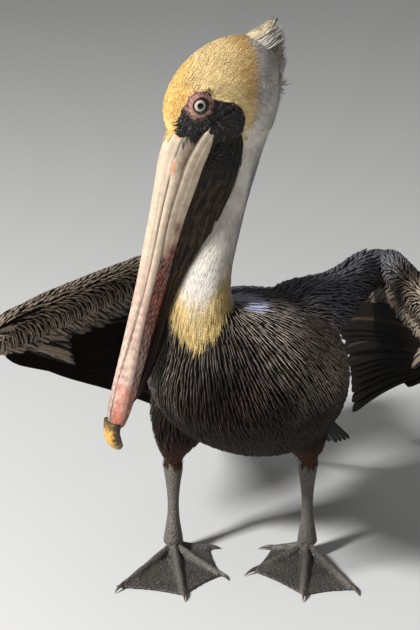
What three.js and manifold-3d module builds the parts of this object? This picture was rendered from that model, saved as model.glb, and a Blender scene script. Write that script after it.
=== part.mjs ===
// A brown pelican, standing with its wings half open and its bill laid down along its neck.
// Millimetres, +Z up, the bird facing -Y, its left side towards +X. The floor is z = 0.
import * as THREE from 'three';
import { ParametricGeometry } from 'three/addons/geometries/ParametricGeometry.js';
import { mergeVertices } from 'three/addons/utils/BufferGeometryUtils.js';
import Module from 'manifold-3d';

const wasm = await Module();
wasm.setup();

// ---- driving dimensions ----
const GAP = 0.3; // clearance between neighbouring pieces
const BILL_LENGTH = 304; // feather edge to the front of the nail
const BILL_DROP = 75.7; // degrees that the bill points below the level
const HEAD_TURN = 65; // degrees that the head is turned to the bird's right
const TRUNK_PITCH = 28; // degrees that the breast is raised
const TRUNK_TURN = 14; // degrees that the whole trunk faces to the bird's right
const TRUNK_CENTRE = [11.5, -15, 215];
const HEAD_CENTRE = [-28, -115, 553];
const STANCE = { right: 76, left: 70 }; // each heel's distance from the middle
const TOE_IN = { right: 7, left: 5 }; // degrees that each middle toe turns inwards
const TOE_LENGTHS = [99, 102, 76, 40]; // outer, middle, inner and hind, without their claws
const TOE_ANGLES = { right: [-39, 0, 35, 94], left: [-31, 0, 46, 95] }; // inwards from the middle one
const CLAW = 14;
const HEEL_HEIGHT = 19;
const TAIL_LENGTH = 128;
const TAIL_DROP = 40; // degrees
const EYE_RADIUS = 8;

// ---- colours: [red, green, blue, roughness] ----
const PAINT = {
  crown: [0.86, 0.72, 0.36, 0.8],
  neck: [0.84, 0.81, 0.74, 0.85],
  plumage: [0.23, 0.19, 0.16, 0.8],
  flight: [0.11, 0.09, 0.08, 0.7],
  horn: [0.8, 0.75, 0.66, 0.5],
  nail: [0.76, 0.61, 0.22, 0.4],
  pouch: [0.09, 0.07, 0.05, 0.6],
  leg: [0.2, 0.19, 0.18, 0.6],
  claw: [0.5, 0.47, 0.42, 0.45],
  eye: [0.85, 0.84, 0.8, 0.1],
};

const vec = (x, y, z) => new THREE.Vector3(x, y, z);
const radians = THREE.MathUtils.degToRad;
const mix = THREE.MathUtils.lerp;

// ---- frames: the places of a region are given as (forward, left, up) from an origin ----
function frame(origin, forward, left) {
  const f = forward.clone().normalize();
  const l = left.clone().addScaledVector(f, -left.dot(f)).normalize();
  const matrix = new THREE.Matrix4().makeBasis(f, l, f.clone().cross(l)).setPosition(origin);
  return (along, aside, above) => vec(along, aside, above).applyMatrix4(matrix);
}

// A heading, turned to the bird's right from -Y and raised above the level, both in degrees.
function heading(turn, rise) {
  const t = radians(turn);
  const r = radians(rise);
  return vec(-Math.sin(t) * Math.cos(r), -Math.cos(t) * Math.cos(r), Math.sin(r));
}
const leftOf = (turn) => vec(Math.cos(radians(turn)), -Math.sin(radians(turn)), 0);

const trunkAt = frame(vec(...TRUNK_CENTRE), heading(TRUNK_TURN, TRUNK_PITCH), leftOf(TRUNK_TURN));
const headAt = frame(vec(...HEAD_CENTRE), heading(HEAD_TURN, 0), leftOf(HEAD_TURN));
const billAt = frame(headAt(37.3, 0, -62.4), heading(HEAD_TURN, -BILL_DROP), leftOf(HEAD_TURN));

// ---- surfaces ----
// A smooth run of numbers through evenly spaced values: a uniform Catmull-Rom spline.
function smooth(values, t) {
  const curve = new THREE.CatmullRomCurve3(values.map((v) => vec(v, 0, 0)), false, 'catmullrom', 0.5);
  return curve.getPoint(t).x;
}

// Stations are rows of the same numbers; this gives the row at t between the first and the last.
const row = (stations, t) => stations[0].map((_, k) => smooth(stations.map((s) => s[k]), t));

// A closed solid through rings of points, each end closed to its ring's middle.
function solidThrough(rings) {
  const middle = (ring) => ring.reduce((sum, p) => sum.add(p), vec(0, 0, 0)).divideScalar(ring.length);
  const rows = [[middle(rings[0])], ...rings, [middle(rings.at(-1))]];
  const around = rings[0].length;
  const surface = (u, v, target) => {
    const points = rows[Math.round(v * (rows.length - 1))];
    target.copy(points[Math.round(u * around) % points.length]);
  };
  return toSolid(new ParametricGeometry(surface, around, rows.length - 1));
}

// The geometry as a manifold solid with outward faces: seams merged, faces without area dropped.
function toSolid(geometry) {
  geometry.deleteAttribute('normal');
  geometry.deleteAttribute('uv');
  const merged = mergeVertices(geometry, 1e-3);
  const index = merged.index.array;
  const faces = [];
  for (let i = 0; i < index.length; i += 3) {
    const [a, b, c] = index.slice(i, i + 3);
    if (a !== b && b !== c && a !== c) faces.push(a, b, c);
  }
  const build = (order) => new wasm.Manifold(new wasm.Mesh({
    numProp: 3,
    vertProperties: merged.attributes.position.array,
    triVerts: new Uint32Array(order),
  }));
  const made = build(faces);
  return made.volume() > 0 ? made : build(faces.reverse());
}

// Stations spaced closely at both ends, where a rounded form closes.
const steps = (count, at) => Array.from({ length: count }, (_, i) => at(i));
const rounded = (count) => steps(count, (i) => (1 - Math.cos((Math.PI * (i + 0.5)) / count)) / 2);
const even = (count) => steps(count, (i) => i / (count - 1));

// How far a round end has opened at t, over the given share of the length at each end.
function opening(t, start, end) {
  const a = start > 0 ? Math.min(1, t / start) : 1;
  const b = end > 0 ? Math.min(1, (1 - t) / end) : 1;
  return Math.sqrt(1 - (1 - a) ** 2) * Math.sqrt(1 - (1 - b) ** 2);
}

// An oval ring: half width along side, and its own half height above and below the middle.
function oval(centre, side, up, width, above, below, count) {
  return Array.from({ length: count }, (_, i) => {
    const a = (2 * Math.PI * i) / count;
    const rise = Math.sin(a) * (Math.sin(a) > 0 ? above : below);
    return centre.clone().addScaledVector(side, width * Math.cos(a)).addScaledVector(up, rise);
  });
}

// A limb: stations [x, y, z, half width, half depth], its ovals square to its own line.
function limb(stations, reference, { count = 14, rings = 9, ends = [0.1, 0.1], grow = 0 } = {}) {
  const line = (t) => vec(...row(stations, t).slice(0, 3));
  return solidThrough(rounded(rings).map((t) => {
    const along = line(Math.min(1, t + 0.01)).sub(line(Math.max(0, t - 0.01))).normalize();
    const up = reference.clone().addScaledVector(along, -reference.dot(along)).normalize();
    const [, , , width, depth] = row(stations, t);
    const open = opening(t, ...ends);
    const side = along.clone().cross(up);
    return oval(line(t), side, up, width * open + grow, depth * open + grow, depth * open + grow, count);
  }));
}

// A thin blade between a root line and a tip line, thickest at a third of its depth.
function blade(root, tip, normal, { thick, count = 10, rings = 9, grow = 0 }) {
  return solidThrough(even(rings).map((t) => Array.from({ length: count }, (_, i) => {
    const a = (2 * Math.PI * i) / count;
    const across = (1 - Math.cos(a)) / 2;
    const deep = Math.sin(a) * (thick / 2) * (1.25 - across) + Math.sign(Math.sin(a)) * grow;
    const outwards = tip(t).sub(root(t)).normalize().multiplyScalar(-Math.cos(a) * grow);
    return root(t).lerp(tip(t), across).addScaledVector(normal, deep).add(outwards);
  })));
}

// ---- trunk, in its own frame: [along, rise of the middle, half width, half up, half down] ----
const TRUNK = [
  [-172, -2, 32, 20, 24],
  [-122, -2, 62, 48, 52],
  [-66, 0, 88, 78, 80],
  [-8, 2, 101, 90, 90],
  [52, 2, 103.5, 84, 92],
  [104, 0, 95, 72, 88],
  [146, -4, 78, 58, 74],
  [176, -8, 52, 42, 52],
];

function trunk(grow = 0) {
  const side = trunkAt(0, 1, 0).sub(trunkAt(0, 0, 0));
  const up = trunkAt(0, 0, 1).sub(trunkAt(0, 0, 0));
  return solidThrough(rounded(15).map((t) => {
    const [along, rise, width, above, below] = row(TRUNK, t);
    const open = opening(t, 0.1, 0.16);
    const size = (r) => r * open + grow;
    return oval(trunkAt(along, 0, rise), side, up, size(width), size(above), size(below), 24);
  }));
}

// ---- neck, from inside the breast to inside the head ----
const NECK = [
  [-30, -88, 250, 50, 50],
  [-45, -122, 300, 40, 38],
  [-44, -116, 350, 30, 30],
  [-27, -92, 412, 26, 27],
  [-10, -84, 470, 25, 27],
  [3, -92, 524, 27, 30],
  [6, -100, 570, 22, 26],
];
const NECK_CUTS = [352, 430]; // heights of the thin cuts that part the neck

const neck = (grow = 0) => limb(NECK, vec(0, -1, 0.1), { count: 16, rings: 14, ends: [0.05, 0.1], grow });

// The slab of a solid between two heights.
function between(solid, low, high) {
  const tall = new THREE.BoxGeometry(2000, 2000, high - low).translate(0, 0, (low + high) / 2);
  return solid.intersect(toSolid(tall));
}

// ---- head: a skull longer than high, sloping down to the bill, and the nape behind it ----
const SKULL = { length: 65.5, height: 47.5, width: 29, tilt: 34, along: -2.4, above: -18.6 };
const NAPE_CUT = 508; // height where the head ends on the neck

function head(grow = 0) {
  const ball = new THREE.SphereGeometry(1, 16, 12).rotateX(Math.PI / 2);
  const place = ball.attributes.position;
  const [c, d] = [Math.cos(radians(SKULL.tilt)), Math.sin(radians(SKULL.tilt))];
  for (let i = 0; i < place.count; i++) {
    const p = vec().fromBufferAttribute(place, i);
    const fuller = 1 - 0.1 * p.z - 0.06 * p.x; // the cheeks are fuller than the crown
    const [f, h] = [p.x * (SKULL.length + grow), p.z * (SKULL.height + grow)];
    const aside = Math.sign(p.y) * Math.abs(p.y) ** 0.86 * (SKULL.width * fuller + grow);
    const at = headAt(SKULL.along + c * f + d * h, aside, SKULL.above - d * f + c * h);
    place.setXYZ(i, at.x, at.y, at.z);
  }
  return toSolid(ball);
}

// The tuft that stands up behind the crown: [along, above, half width, half depth] in the head's frame.
const CREST = [[-30, 2, 14, 22], [-48, 16, 11, 20], [-61, 30, 7, 13], [-70, 41, 3, 5]];

function crest(grow = 0) {
  const stations = CREST.map(([along, above, ...sizes]) => [...headAt(along, 0, above).toArray(), ...sizes]);
  const ahead = headAt(1, 0, 0).sub(headAt(0, 0, 0));
  return limb(stations, ahead, { count: 10, rings: 6, ends: [0.1, 0.3], grow });
}

const EYE_AT = [30.2, 21, -24.6]; // in the head's frame, on the left; mirrored on the right

function eye(side, grow = 0) {
  const [along, aside, above] = EYE_AT;
  const at = headAt(along, aside * side, above);
  return toSolid(new THREE.SphereGeometry(EYE_RADIUS + grow, 12, 8).translate(at.x, at.y, at.z));
}

// ---- bill, in its own frame: along it, to its left, and above the line where it shuts ----
// The line where it shuts turns down towards the gape, and bows up a little twice after it.
const shutAt = (along) => (
  (along < 26 ? -0.0225 * (26 - along) ** 1.66 : 0) + 2.2 * Math.exp(-(((along - 68) / 36) ** 2))
    + 1.2 * Math.exp(-(((along - 170) / 40) ** 2))
);
// Upper half: [along, half width, height of the ridge]
const UPPER = [
  [-16, 19, 23.6],
  [27, 16.5, 17.4],
  [70, 13.5, 13.2],
  [113, 12, 13.3],
  [156, 11.2, 11.8],
  [199, 11.5, 12.4],
  [242, 13, 13.8],
  [285, 12.4, 13],
];
// Lower half: [along, half width, depth under the shut line], the same way
const LOWER = [
  [-20, 23, 16.5],
  [18, 20, 19.8],
  [56, 16, 18.8],
  [94, 12.5, 15.8],
  [132, 11, 14],
  [170, 10.5, 13],
  [208, 11, 10],
  [246, 11, 7.8],
  [284, 8.5, 5.5],
];
// Pouch: [along, half width, top, bottom]
const POUCH = [
  [-44, 23, -24, -46],
  [-6, 21, -17, -65],
  [32, 16, -15, -64.5],
  [70, 13, -12, -57],
  [108, 11.5, -11, -51.5],
  [146, 8.5, -11, -34],
  [184, 7.2, -10, -28.5],
  [222, 7, -8.5, -23.5],
  [260, 6, -7, -13],
];
const NAIL_AT = BILL_LENGTH - 21;

// Sections of the bill, given as outline points (aside, above) by share: a roof and a trough.
const ROOF = [[1, 0], [0.96, 0.35], [0.6, 0.72], [0.3, 1], [-0.3, 1], [-0.6, 0.72], [-0.96, 0.35], [-1, 0]];
const TROUGH = [[1, 0], [1, 0.5], [0.9, 0.88], [0.66, 1], [-0.66, 1], [-0.9, 0.88], [-1, 0.5], [-1, 0]];

function billHalf(stations, sign, grow = 0) {
  return solidThrough(even(13).map((t) => {
    const [along, width, height] = row(stations, t);
    const end = opening(t, 0, 0.08);
    const point = sign < 0 ? mix(0.3, 1, opening(t, 0.1, 0)) : 1; // the lower half's root runs to a thin edge
    const shut = shutAt(along) + sign * (GAP / 2 - grow);
    return (sign > 0 ? ROOF : TROUGH).map(([a, h]) => billAt(
      along,
      a * (width * mix(0.55, 1, end) + grow),
      shut + sign * h * (height * mix(0.6, 1, end) * point + 2 * grow),
    ));
  }));
}

// [along, above of the middle, half width, half height]
const NAIL = [
  [NAIL_AT + GAP, 6.2, 12.5, 6.3],
  [NAIL_AT + 9, 4.4, 11.5, 7],
  [NAIL_AT + 16, 0.6, 9, 7],
  [NAIL_AT + 21, -5, 5.5, 5],
  [NAIL_AT + 22, -9.5, 2, 2.4],
];

function nail(grow = 0) {
  const side = billAt(0, 1, 0).sub(billAt(0, 0, 0));
  return solidThrough(even(8).map((t) => {
    const [along, above, width, height] = row(NAIL, t);
    const [before, after] = [row(NAIL, Math.max(0, t - 0.02)), row(NAIL, Math.min(1, t + 0.02))];
    const [ahead, raised] = [after[0] - before[0], after[1] - before[1]];
    const steep = Math.hypot(ahead, raised);
    const up = billAt(-raised / steep, 0, ahead / steep).sub(billAt(0, 0, 0));
    return oval(billAt(along, 0, above), side, up, width + grow, height + grow, height + grow, 10);
  }));
}

function pouch(grow = 0) {
  return solidThrough(rounded(12).map((t) => {
    const [along, width, top, bottom] = row(POUCH, t);
    const middle = (top + bottom) / 2;
    const half = ((top - bottom) / 2) * opening(t, 0.06, 0.06) + grow;
    return Array.from({ length: 14 }, (_, i) => {
      const a = (2 * Math.PI * i) / 14;
      const narrow = 0.72 + 0.28 * Math.sin(a); // the free fold is thinner than the top
      return billAt(along, Math.cos(a) * (width * narrow + grow), middle + Math.sin(a) * half);
    });
  }));
}

// ---- wings: shoulder, elbow, wrist and the longest feather's tip ----
const WINGS = {
  left: {
    shoulder: [34, -72, 283],
    elbow: [159, 140, 293],
    wrist: [204, -145, 293],
    tip: [138, 265, 61],
    firstSecondary: [176, 33, 190],
    lastSecondary: [106, 288, 189],
  },
  right: {
    shoulder: [-50, -38, 284],
    elbow: [-87, 180, 276],
    wrist: [-257, -60, 269],
    tip: [-61, 295, 50],
    firstSecondary: [-171, 100, 178],
    lastSecondary: [-30, 322, 178],
  },
};

// [share of the way, half width, half depth, rise]
const UPPER_ARM = [
  [0, 44, 44, 6],
  [0.25, 36, 38, -1],
  [0.5, 27, 32, -6],
  [0.75, 20, 27, 0],
  [1, 17, 23, -1],
];
const FOREARM = [
  [0, 17, 23, 0],
  [0.25, 18, 24, 2],
  [0.5, 18, 25, 3],
  [0.75, 18, 26, 2],
  [1.04, 15, 24, -2],
];

function arm(from, to, shape, options, grow) {
  const a = vec(...from);
  const b = vec(...to);
  const stations = shape.map(([share, width, depth, rise]) => {
    const p = a.clone().lerp(b, share);
    return [p.x, p.y, p.z + rise, width, depth];
  });
  return limb(stations, vec(0, 0, 1), { ...options, grow });
}

const upperArm = (w, grow = 0) => arm(w.shoulder, w.elbow, UPPER_ARM, { rings: 9, ends: [0.15, 0.12] }, grow);
const forearm = (w, grow = 0) => arm(w.elbow, w.wrist, FOREARM, { rings: 10, ends: [0.12, 0.12] }, grow);

// The side of a wing's sheet: square to the forearm and to the longest feather.
function sheetNormal(w) {
  const wrist = vec(...w.wrist);
  return vec(...w.elbow).sub(wrist).cross(vec(...w.tip).sub(wrist)).normalize();
}

function secondaries(w, grow = 0) {
  const ease = (t) => t * 0.96 + 0.02;
  const root = (t) => vec(...w.elbow).lerp(vec(...w.wrist), ease(t)).add(vec(0, 0, -10));
  const line = (t) => vec(...w.lastSecondary).lerp(vec(...w.firstSecondary), ease(t));
  const tip = (t) => line(t).add(vec(0, 0, 14 * Math.sin(Math.PI * t)));
  return blade(root, tip, sheetNormal(w), { thick: 9, rings: 10, grow });
}

// [share of the way, half width in the sheet, half thickness, rise in the sheet]
const PRIMARIES = [
  [-0.03, 20, 9, 3],
  [0.16, 29, 8, 26],
  [0.38, 32, 5.5, 35],
  [0.6, 30, 4.5, 31],
  [0.82, 23, 3.5, 19],
  [1, 11, 2.5, 4],
];

function primaries(w, grow = 0) {
  const wrist = vec(...w.wrist);
  const tip = vec(...w.tip);
  const along = tip.clone().sub(wrist).normalize();
  const normal = sheetNormal(w);
  const across = normal.clone().cross(along).normalize();
  if (across.z < 0) across.negate();
  return solidThrough(rounded(12).map((t) => {
    const [share, width, thick, rise] = row(PRIMARIES, t);
    const centre = wrist.clone().lerp(tip, share).addScaledVector(across, rise);
    const open = opening(t, 0.1, 0.14);
    const half = thick * Math.sqrt(open) + grow;
    return oval(centre, across, normal, width * open + grow, half, half, 10);
  }));
}

// ---- tail: a fan of stiff feathers ----
function tail(grow = 0) {
  const fan = frame(trunkAt(-150, 0, -4), heading(TRUNK_TURN, TAIL_DROP).negate(), leftOf(TRUNK_TURN));
  const normal = fan(0, 0, 1).sub(fan(0, 0, 0));
  const root = (t) => fan(-4, mix(-26, 26, t), 0);
  const tip = (t) => {
    const a = radians(mix(-24, 24, t));
    const reach = TAIL_LENGTH + 22 - 10 * (2 * t - 1) ** 2;
    return fan(reach * Math.cos(a), reach * Math.sin(a) * 1.08, 5 * Math.cos(a * 3));
  };
  return blade(root, tip, normal, { thick: 8, rings: 11, grow });
}

// ---- legs: [outwards of the heel, y, z, half width, half depth] ----
const THIGH = [[-18, -10, 200, 40, 44], [-9, -2, 160, 34, 38], [-2, 8, 128, 21, 23], [0, 13, 107, 13.5, 14.5]];
const TARSUS = [
  [0, 14, 107.5, 8.5, 9.5],
  [0, 17, 94, 10, 11],
  [0, 14, 78, 7.8, 9],
  [0, 10, 60, 6.4, 8],
  [0, 6, 42, 6.6, 8.5],
  [0, 1, 26, 8.5, 10],
  [0, -2, 12, 9, 11],
];
const FLAT_TOP = 107.5; // where the feathered thigh ends on the bare leg
const SIGN = { right: -1, left: 1 };
function leg(stations, side, options) {
  const placed = stations.map(([out, ...rest]) => [SIGN[side] * (STANCE[side] + out), ...rest]);
  return limb(placed, vec(0, -1, 0), options);
}
const thigh = (side) => leg(THIGH, side, { rings: 8, ends: [0.1, 0.02] });
const tarsus = (side, grow = 0) => leg(TARSUS, side, { count: 12, ends: [0.02, 0.08], grow });

const TOE_NAMES = ['outer', 'middle', 'inner', 'hind'];
const TOE_WIDTHS = [[6.5, 4], [7, 4.2], [6.2, 3.8], [5.4, 3.4]]; // half widths at the heel and at the tip
function toesOf(side) {
  return TOE_NAMES.map((name, i) => [name, TOE_LENGTHS[i], TOE_ANGLES[side][i], ...TOE_WIDTHS[i]]);
}

// A foot's frame: along the middle toe, and across towards the other foot.
function footAt(side) {
  const turn = radians(TOE_IN[side]);
  const sign = SIGN[side];
  const ahead = vec(-sign * Math.sin(turn), -Math.cos(turn), 0);
  const inwards = vec(-sign * Math.cos(turn), Math.sin(turn), 0);
  return (along, aside, above) => vec(sign * STANCE[side], 0, above)
    .addScaledVector(ahead, along)
    .addScaledVector(inwards, aside);
}

// A toe's direction and height at a share of its length: it slopes down to its tip.
const toePoint = ([, length, angle], share, extra = 0) => {
  const reach = length * share + extra;
  return [reach * Math.cos(radians(angle)), reach * Math.sin(radians(angle))];
};
const toeHeight = (share) => mix(HEEL_HEIGHT, 6.5, Math.min(1, share) ** 0.6);

function toe(at, shape, grow = 0) {
  const [, , angle, heel, tip] = shape;
  const knuckle = (t) => 1 + 0.1 * Math.cos(t * 6 * Math.PI); // three joints swell along it
  return solidThrough(even(8).map((t) => {
    const [along, aside] = toePoint(shape, t);
    const width = mix(heel, tip, t) * knuckle(t) * opening(t, 0, 0.06) ** 0.4 + grow;
    const height = toeHeight(t) * mix(1, 0.7, Math.max(0, t - 0.9) * 10) + grow;
    const [ca, sa] = [Math.cos(radians(angle)), Math.sin(radians(angle))];
    return Array.from({ length: 6 }, (_, i) => {
      const a = (2 * Math.PI * i) / 6 + Math.PI / 6;
      const out = width * Math.cos(a) * 1.05;
      const above = a < Math.PI ? height * Math.sin(a) ** 0.8 : 0;
      return at(along - sa * out, aside + ca * out, above);
    });
  }));
}

// The web between two toes: a thin sheet whose free edge is drawn in towards the heel.
function web(at, one, two) {
  const middle = (one[2] + two[2]) / 2;
  const drawn = 1;
  return solidThrough(even(5).map((t) => {
    const share = mix(0.06, 0.97, t);
    const thick = 1.5;
    const count = 4;
    const points = Array.from({ length: count }, (_, i) => {
      const s = i / (count - 1);
      const [a0, b0] = toePoint(one, share);
      const [a1, b1] = toePoint(two, share);
      const pull = drawn * Math.sin(Math.PI * s) * share;
      const along = mix(a0, a1, s) - pull * Math.cos(radians(middle));
      const aside = mix(b0, b1, s) - pull * Math.sin(radians(middle));
      return [along, aside, mix(8.5, 1.8, share ** 0.7)];
    });
    const top = points.map(([a, b, h]) => at(a, b, h + thick / 2));
    const under = points.map(([a, b, h]) => at(a, b, h - thick / 2)).reverse();
    return [...top, ...under];
  }));
}

function foot(side) {
  const at = footAt(side);
  const shapes = toesOf(side);
  const toes = shapes.map((shape) => toe(at, shape));
  const webs = shapes.slice(1).map((shape, i) => web(at, shapes[i], shape));
  return [...toes, ...webs].reduce((whole, piece) => whole.add(piece));
}

function claw(side, shape) {
  const at = footAt(side);
  const [, , angle, , tipWidth] = shape;
  const [ca, sa] = [Math.cos(radians(angle)), Math.sin(radians(angle))];
  return solidThrough(even(5).map((t) => {
    const [along, aside] = toePoint(shape, 1, GAP + (CLAW - GAP) * t);
    const width = mix(tipWidth * 0.72, 0.7, t);
    const high = mix(5.2, 1.2, t ** 1.2);
    return Array.from({ length: 6 }, (_, i) => {
      const a = (2 * Math.PI * i) / 6;
      const out = width * Math.cos(a);
      return at(along - sa * out, aside + ca * out, Math.max(0, high * (0.5 + 0.58 * Math.sin(a))));
    });
  }));
}

// ---- the pieces, each cut clear of those before it ----
const pelican = new THREE.Group();
pelican.name = 'brown_pelican';

// The largest body of a solid: slivers that a cut leaves behind are dropped.
const largest = (solid) => solid.decompose().sort((a, b) => b.volume() - a.volume())[0];
const SMALLEST = 0.1; // detail under this is dropped
function cut(solid, ...tools) {
  return largest(tools.reduce((rest, tool) => rest.subtract(tool), solid)).simplify(SMALLEST);
}

function add(name, paint, solid) {
  const { vertProperties, triVerts, numProp } = solid.getMesh();
  const geometry = new THREE.BufferGeometry();
  const count = vertProperties.length / numProp;
  const coordinate = (_, i) => vertProperties[Math.floor(i / 3) * numProp + (i % 3)];
  const place = Float32Array.from({ length: count * 3 }, coordinate);
  geometry.setAttribute('position', new THREE.BufferAttribute(place, 3));
  geometry.setIndex(new THREE.BufferAttribute(triVerts, 1));
  geometry.computeVertexNormals();
  const [r, g, b, roughness] = PAINT[paint];
  const material = new THREE.MeshStandardMaterial({ color: new THREE.Color(r, g, b), roughness, metalness: 0 });
  const mesh = new THREE.Mesh(geometry, material);
  mesh.name = name;
  pelican.add(mesh);
}

function addTrunk() {
  add('trunk', 'plumage', trunk());
  add('tail', 'flight', cut(tail(), trunk(GAP)));
}

function addHeadAndNeck() {
  const top = 700;
  const whole = cut(neck(), trunk(GAP));
  const levels = [0, ...NECK_CUTS, NAPE_CUT];
  ['lower', 'middle', 'upper'].forEach((name, i) => {
    const part = between(whole, levels[i] + GAP / 2, levels[i + 1] - GAP / 2);
    add(`neck_${name}`, 'neck', cut(part, head(GAP)));
  });
  const halves = [billHalf(UPPER, 1, GAP), billHalf(LOWER, -1, GAP)];
  const skull = head().add(between(whole, NAPE_CUT + GAP / 2, top));
  add('head', 'crown', cut(skull, ...halves, eye(1, GAP), eye(-1, GAP)));
  add('crest', 'neck', cut(crest(), head(GAP), neck(GAP)));
  add('eye_left', 'eye', eye(1));
  add('eye_right', 'eye', eye(-1));
  add('bill_upper', 'horn', cut(billHalf(UPPER, 1), nail(GAP)));
  add('bill_lower', 'horn', cut(billHalf(LOWER, -1), billHalf(UPPER, 1, GAP), nail(GAP)));
  add('bill_nail', 'nail', nail());
  add('pouch', 'pouch', cut(pouch(), billHalf(LOWER, -1, GAP), billHalf(UPPER, 1, GAP), head(GAP), neck(GAP)));
}

function addWing(side, w) {
  const armTool = upperArm(w, GAP);
  const foreTool = forearm(w, GAP);
  add(`wing_${side}_upper_arm`, 'plumage', cut(upperArm(w), trunk(GAP), neck(GAP)));
  add(`wing_${side}_forearm`, 'plumage', cut(forearm(w), armTool, trunk(GAP)));
  const others = [armTool, foreTool, trunk(GAP), tail(GAP)];
  add(`wing_${side}_primaries`, 'flight', cut(primaries(w), ...others));
  add(`wing_${side}_secondaries`, 'flight', cut(secondaries(w), primaries(w, GAP), ...others));
}

function addLeg(side) {
  add(`thigh_${side}`, 'plumage', cut(between(thigh(side), FLAT_TOP + GAP, 400), trunk(GAP)));
  add(`tarsus_${side}`, 'leg', between(tarsus(side), 0, FLAT_TOP));
  add(`foot_${side}`, 'leg', cut(foot(side), tarsus(side, GAP)));
  for (const shape of toesOf(side)) add(`claw_${side}_${shape[0]}`, 'claw', claw(side, shape));
}

addTrunk();
addHeadAndNeck();
for (const [side, w] of Object.entries(WINGS)) addWing(side, w);
addLeg('left');
addLeg('right');

// The origin: the middle of the whole bird's box, on the floor.
const box = new THREE.Box3().setFromObject(pelican, true);
pelican.position.set(-(box.min.x + box.max.x) / 2, -(box.min.y + box.max.y) / 2, -box.min.z);

export default pelican;
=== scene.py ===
"""A brown pelican's looks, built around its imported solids: skin, bill, pouch, eyes, claws and feathers.

Lengths are millimetres in the bird's own stance: the floor is z = 0, the middle between the heels is x =
y = 0, and the bird faces -Y with its left side towards +X. place() turns them into the frame's metres.
"""

import math

import bpy
import numpy as np
from bpy.props import FloatProperty, FloatVectorProperty, PointerProperty
from bpy.types import Operator, Panel, PropertyGroup
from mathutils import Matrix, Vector
from mathutils.bvhtree import BVHTree


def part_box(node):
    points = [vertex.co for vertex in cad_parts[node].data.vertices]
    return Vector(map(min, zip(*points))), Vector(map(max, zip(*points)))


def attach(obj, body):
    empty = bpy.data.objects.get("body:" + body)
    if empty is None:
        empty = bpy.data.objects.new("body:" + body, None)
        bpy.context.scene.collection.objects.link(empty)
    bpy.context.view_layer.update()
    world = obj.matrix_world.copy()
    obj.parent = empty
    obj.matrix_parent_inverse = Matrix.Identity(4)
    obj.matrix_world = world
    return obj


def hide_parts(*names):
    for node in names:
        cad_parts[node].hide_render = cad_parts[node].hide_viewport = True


bl_info = {
    "name": "Brown pelican",
    "version": (1, 0, 0),
    "blender": (4, 5, 0),
    "location": "3D View > Sidebar > Pelican",
    "description": "Builds a standing brown pelican with its feathers around its solids",
    "category": "Object",
}

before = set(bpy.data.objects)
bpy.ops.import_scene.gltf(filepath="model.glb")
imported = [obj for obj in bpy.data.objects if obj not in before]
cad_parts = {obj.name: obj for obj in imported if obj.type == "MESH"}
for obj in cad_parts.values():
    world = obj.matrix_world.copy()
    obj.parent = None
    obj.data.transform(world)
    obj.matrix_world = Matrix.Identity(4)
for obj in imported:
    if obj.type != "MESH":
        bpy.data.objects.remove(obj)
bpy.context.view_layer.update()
BODY = "root"

# ---------------------------------------------------------------- measures

HEAD_CENTRE = (-28, -115, 553)
HEAD_TURN = 65  # degrees to the bird's right
TRUNK_CENTRE = (11.5, -15, 215)
TRUNK_TURN = 14
TRUNK_PITCH = 28
BILL_DROP = 75.7
BILL_ROOT = (37.3, 0, -62.4)  # in the head's frame
EYE_AT = (30.2, 21, -24.6)  # in the head's frame, on the left
EYE_RADIUS = 8
SKULL_LENGTH, SKULL_HEIGHT, SKULL_WIDTH = 65.5, 47.5, 29
SKULL_TILT = 34
SKULL_AT = (-2.4, -18.6)  # ahead and above, in the head's frame
TAIL_DROP = 40
STANCE = {"right": 76, "left": 70}
TOE_IN = {"right": 7, "left": 5}
TOE_LENGTHS = (99, 102, 76, 40)
TOE_ANGLES = {"right": (-39, 0, 35, 94), "left": (-31, 0, 46, 95)}
TOE_WIDTHS = ((6.5, 4), (7, 4.2), (6.2, 3.8), (5.4, 3.4))
TOE_NAMES = ("outer", "middle", "inner", "hind")
HEEL_HEIGHT = 19
CLAW = 14
SIGN = {"right": -1, "left": 1}
NECK_COAT = 2.0  # the neck's feathers lie this deep
MOULD_GRAIN = 5.0  # the mould that the body's feathers are spaced on is this fine
BREAST_FOOT = 262  # the breast's feathers lie above this height, the body's below it
CAMERA_LENS, CAMERA_SENSOR = 101.14, 36
CAMERA_TILT = 18.5  # degrees down
CAMERA_RANGE = 1850  # from the point it looks at
CAMERA_ASIDE, CAMERA_HEIGHT = -36, 275  # where that point is
ROOM_LIGHT = 0.2
LAMP_AIM = (0, -40, 300)
LAMPS = (  # name, place from the aim in metres, watts, metres across
    ("key_lamp", (-2.45, -1.55, 2.1), 190, 0.6),
    ("fill_lamp", (2.2, -2.0, 1.0), 1.5, 1.6),
)


def unit(v):
    """Vectors of length one, along the last axis."""
    v = np.asarray(v, float)
    return v / np.maximum(np.linalg.norm(v, axis=-1, keepdims=True), 1e-9)


def heading(turn, rise):
    """A direction turned to the bird's right from -Y, and raised, in degrees."""
    t, r = math.radians(turn), math.radians(rise)
    return np.array([-math.sin(t) * math.cos(r), -math.cos(t) * math.cos(r), math.sin(r)])


def left_of(turn):
    t = math.radians(turn)
    return np.array([math.cos(t), -math.sin(t), 0.0])


class Axes:
    """An origin with ahead, aside (to the left) and above axes."""

    def __init__(self, origin, ahead, left):
        ahead = unit(ahead)
        left = unit(np.asarray(left) - ahead * np.dot(left, ahead))
        self.origin = np.asarray(origin, float)
        self.rows = np.array([ahead, left, np.cross(ahead, left)])

    def at(self, along, aside, above):
        """The stance's point for places along the three axes."""
        parts = np.stack(np.broadcast_arrays(along, aside, above), -1).astype(float)
        return self.origin + parts @ self.rows

    def of(self, points):
        """Places along the three axes for the stance's points."""
        return (np.asarray(points) - self.origin) @ self.rows.T


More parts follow.
